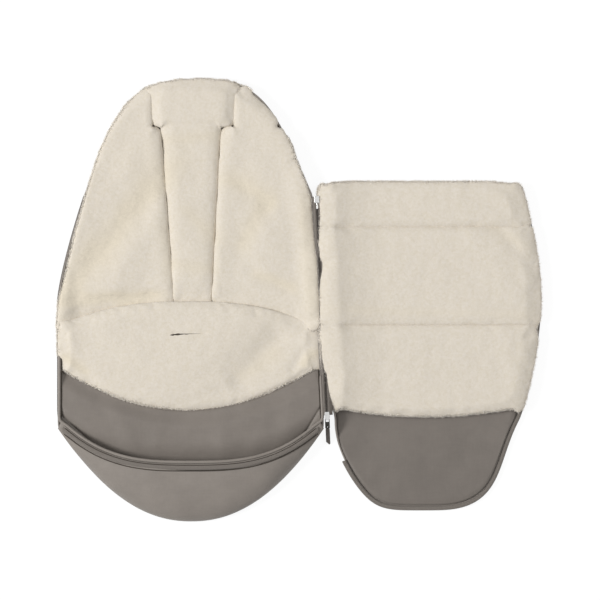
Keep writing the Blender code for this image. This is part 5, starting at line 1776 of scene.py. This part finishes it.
def coverLift(x, y):
    form = coverLifts
    away = x - zipX(y)
    drawn = form["height"] * (1.0 - smooth(away / form["run"]))
    drawn += form["ridge"] * bell(away - form["ridgeAt"], form["ridgeWidth"])
    corner = form["corner"] * bell(toSeam(y), form["along"]) * bell(away - form["cornerAt"], form["across"])
    return drawn * smooth((y - cover["cornerY"]) / form["footRun"]) + corner


def makeCoverFleece():
    made = []
    for name, node, table in (
        ("coverTopPanel", "cover_fleece_top", "coverTop"),
        ("coverMiddlePanel", "cover_fleece_middle", "coverMiddle"),
        ("coverLowerPanel", "cover_fleece_lower", "coverLower"),
    ):
        made.append(makePad(name, node, "cover", coverEdge, coverSpread, partial(foldHeight, folds[table]), coverCreaseShade,
                            lift=coverLift))
    for pad in made:
        growTufts.run(pad.name + "Pile", pad, "tips", "cover", Seed=len(pad.name) + 3)


def makeCoverLining():
    def point(u, v, side):
        share = 2.0 * u - 1.0
        low = coverFoot(share, 0.0058)
        highY = cover["fleeceFoot"] + 0.020 - cover["fleeceBow"] * (1.0 - share**2)
        high = Vector((lerp(coverLeft(highY, 0.0058), coverRight(highY, 0.0058 + cover["tapeInset"]), u), highY, 0.0))
        p = low.lerp(high, v)
        under = smooth((p.y - highY + 0.026) / 0.012)
        edge = smooth(min(min(u, 1.0 - u) * 0.38, v * 0.2) / 0.012)
        soft = 0.0011 * wander(p.x, p.y, 0.0, 0.055, 5.0) + 0.0004 * wander(p.x, p.y, 0.0, 0.020, 2.0)
        puff = (0.0016 + soft) * edge * (1.0 - under)
        z = 0.0097 + (foot["liningThick"] if side else 0.0)
        return Vector((p.x, p.y, z + puff))

    # painted shade: the cover's lining takes the darker copy of the lining's colour, for the shade it lies in
    lining = slab("coverLining", point, steps(110), steps(64), "coverLining")
    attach(lining, "cover")
    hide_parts("cover_foot_lining")


coverTape = {"footShare": 0.6, "startShare": 0.045, "width": 0.0085}


def coverBorder(share, inset):
    turn = coverTape["footShare"]
    if share < turn:
        u = share / turn
        side = abs(2.0 * u - 1.0)
        left = zipX(cover["cornerY"]) + closure["coverGap"] + inset
        right = coverRight(cover["cornerY"], inset)
        drop = (cover["footBow"] - inset) * (1.0 - side ** cover["footPower"])
        return Vector((lerp(left, right, u) - footLean(side), cover["cornerY"] - drop, 0.0))
    y = lerp(cover["cornerY"], cover["topY"] - 2.0 * cover["topBow"], (share - turn) / (1.0 - turn))
    return Vector((coverRight(y, inset), y, 0.0))


def makeCoverTape():
    line = [coverBorder(s, 0.0) for s in steps(400, coverTape["startShare"], 1.0)]
    path = relax(resample(line, 0.0035), 6, closed=False)

    def rise(p):
        return coverWall(p.x, p.y)

    frames = pathFrames(path)
    width = coverTape["width"]
    profile = [(0.0004, 0.0006), (0.0001, 0.0011), (0.15, 0.0014), (0.4, 0.0018), (0.7, 0.0018), (0.95, 0.0012),
               (1.0, 0.0006), (0.95, 0.0003), (0.5, 0.0004), (0.05, 0.0003)]
    sections = []
    for p, tangent, side, up in frames:
        section = []
        for share, lift in profile:
            spot = p - side * (width * share)
            section.append(Vector((spot.x, spot.y, rise(p) + lift)))
        sections.append(section)
    tape = loft("coverTape", sections, "tape")
    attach(tape, "cover")
    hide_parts("cover_zip_tape_free")
    teethPath = [Vector((*(p - side * 0.0016).xy, rise(p) - 0.0006)) for p, t, side, u in frames]
    teeth = teethRow("coverTeeth", teethPath, upward, "cover")
    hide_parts("cover_zip_coil")
    for share, label in ((0.30, "Outer"), (0.90, "Inner")):
        row = [Vector((*(p - side * width * share).xy, rise(p) + 0.0018)) for p, t, side, u in frames]
        stitches("coverTapeStitches" + label, row, upward, "cover")


# the small metal parts keep their solids
def dressMetal():
    for node, paint in (("zip_box", "silver"), ("zip_pin", "silver"), ("slider_body", "silver"),
                        ("puller_link", "blackMetal"), ("puller_tab", "puller")):
        for slotHere in nodes[node].material_slots:
            slotHere.material = paints[paint][0]


room = {
    "cameraHeight": 8.0,
    "frameWidth": 1.2,
    "middleX": 0.214,
    "middleY": 0.0,
    "sensor": 36.0,
    "floorHalf": 6.0,
    "floorHeight": -0.0006,
    "aim": (0.2, 0.0, 0.0),
    "floorTone": 0.80,
    "shadowTone": 0.13,
    "glow": 0.90,
    "worldStrength": 0.42,
}
# each lamp: where it is, its width and its power
lamps = {
    "keyLight": ((-5.4, -0.15, 4.5), 2.7, 436.0),
    "fillLight": ((2.0, 0.8, 2.9), 2.4, 34.0),
}


def grey(value):
    return (value, value, value, 1.0)


# a pale floor that takes soft shadows, and looks near white to the camera
def floorMaterial():
    material = bpy.data.materials.new("paleFloor")
    material.use_nodes = True
    tree = material.node_tree
    tree.nodes.clear()
    parts = {}
    for label, kind in (
        ("out", "OutputMaterial"), ("soft", "BsdfDiffuse"), ("dim", "BsdfDiffuse"), ("glow", "Emission"),
        ("both", "AddShader"), ("rays", "LightPath"), ("seen", "Math"), ("pick", "MixShader"),
    ):
        parts[label] = tree.nodes.new("ShaderNode" + kind)
    parts["soft"].inputs["Color"].default_value = grey(room["floorTone"])
    parts["dim"].inputs["Color"].default_value = grey(room["shadowTone"])
    parts["glow"].inputs["Strength"].default_value = room["glow"]
    parts["seen"].operation = "MAXIMUM"
    for start, output, end, place in (
        ("dim", 0, "both", 0), ("glow", 0, "both", 1), ("rays", "Is Camera Ray", "seen", 0),
        ("rays", "Is Glossy Ray", "seen", 1), ("seen", 0, "pick", 0), ("soft", 0, "pick", 1), ("both", 0, "pick", 2),
        ("pick", 0, "out", "Surface"),
    ):
        tree.links.new(parts[start].outputs[output], parts[end].inputs[place])
    return material


def makeRoom():
    mesh = bpy.data.meshes.new("floor")
    bm = bmesh.new()
    bmesh.ops.create_grid(bm, x_segments=1, y_segments=1, size=room["floorHalf"])
    bm.to_mesh(mesh)
    bm.free()
    floor = bpy.data.objects.new("floor", mesh)
    floor.location = (*room["aim"][:2], room["floorHeight"])
    bpy.context.scene.collection.objects.link(floor)
    floor.data.materials.append(floorMaterial())

    world = bpy.data.worlds.new("paleWorld")
    bpy.context.scene.world = world
    world.use_nodes = True
    sky = world.node_tree.nodes["Background"].inputs
    sky["Color"].default_value = grey(1.0)
    sky["Strength"].default_value = room["worldStrength"]

    for name, (where, size, power) in lamps.items():
        lamp = bpy.data.lights.new(name, "AREA")
        lamp.shape = "DISK"
        lamp.size = size
        lamp.energy = power
        obj = bpy.data.objects.new(name, lamp)
        obj.location = where
        obj.rotation_mode = "QUATERNION"
        obj.rotation_quaternion = (Vector(room["aim"]) - Vector(where)).to_track_quat("-Z", "Y")
        bpy.context.scene.collection.objects.link(obj)

    data = bpy.data.cameras.new("camera")
    data.sensor_width = room["sensor"]
    data.lens = room["sensor"] * room["cameraHeight"] / room["frameWidth"]
    data.clip_start = 0.1
    data.clip_end = 60.0
    camera = bpy.data.objects.new("camera", data)
    camera.location = (room["middleX"], room["middleY"], room["cameraHeight"] + 0.03)
    bpy.context.scene.collection.objects.link(camera)
    bpy.context.scene.camera = camera
    bpy.context.scene.view_settings.view_transform = "Standard"


makeRoom()
print("room ready")
makeBaseShell()
makeBindings()
print("base shell ready")
makeBaseFleece()
print("base fleece ready")
makeFootLining()
makeToe()
makeRim()
makeToeTape()
makeLeftTape()
print("foot pocket ready")
makeZip()
dressMetal()
print("zip ready")
makeCoverShell()
makeCoverFleece()
makeCoverLining()
makeCoverTape()
print("cover ready")
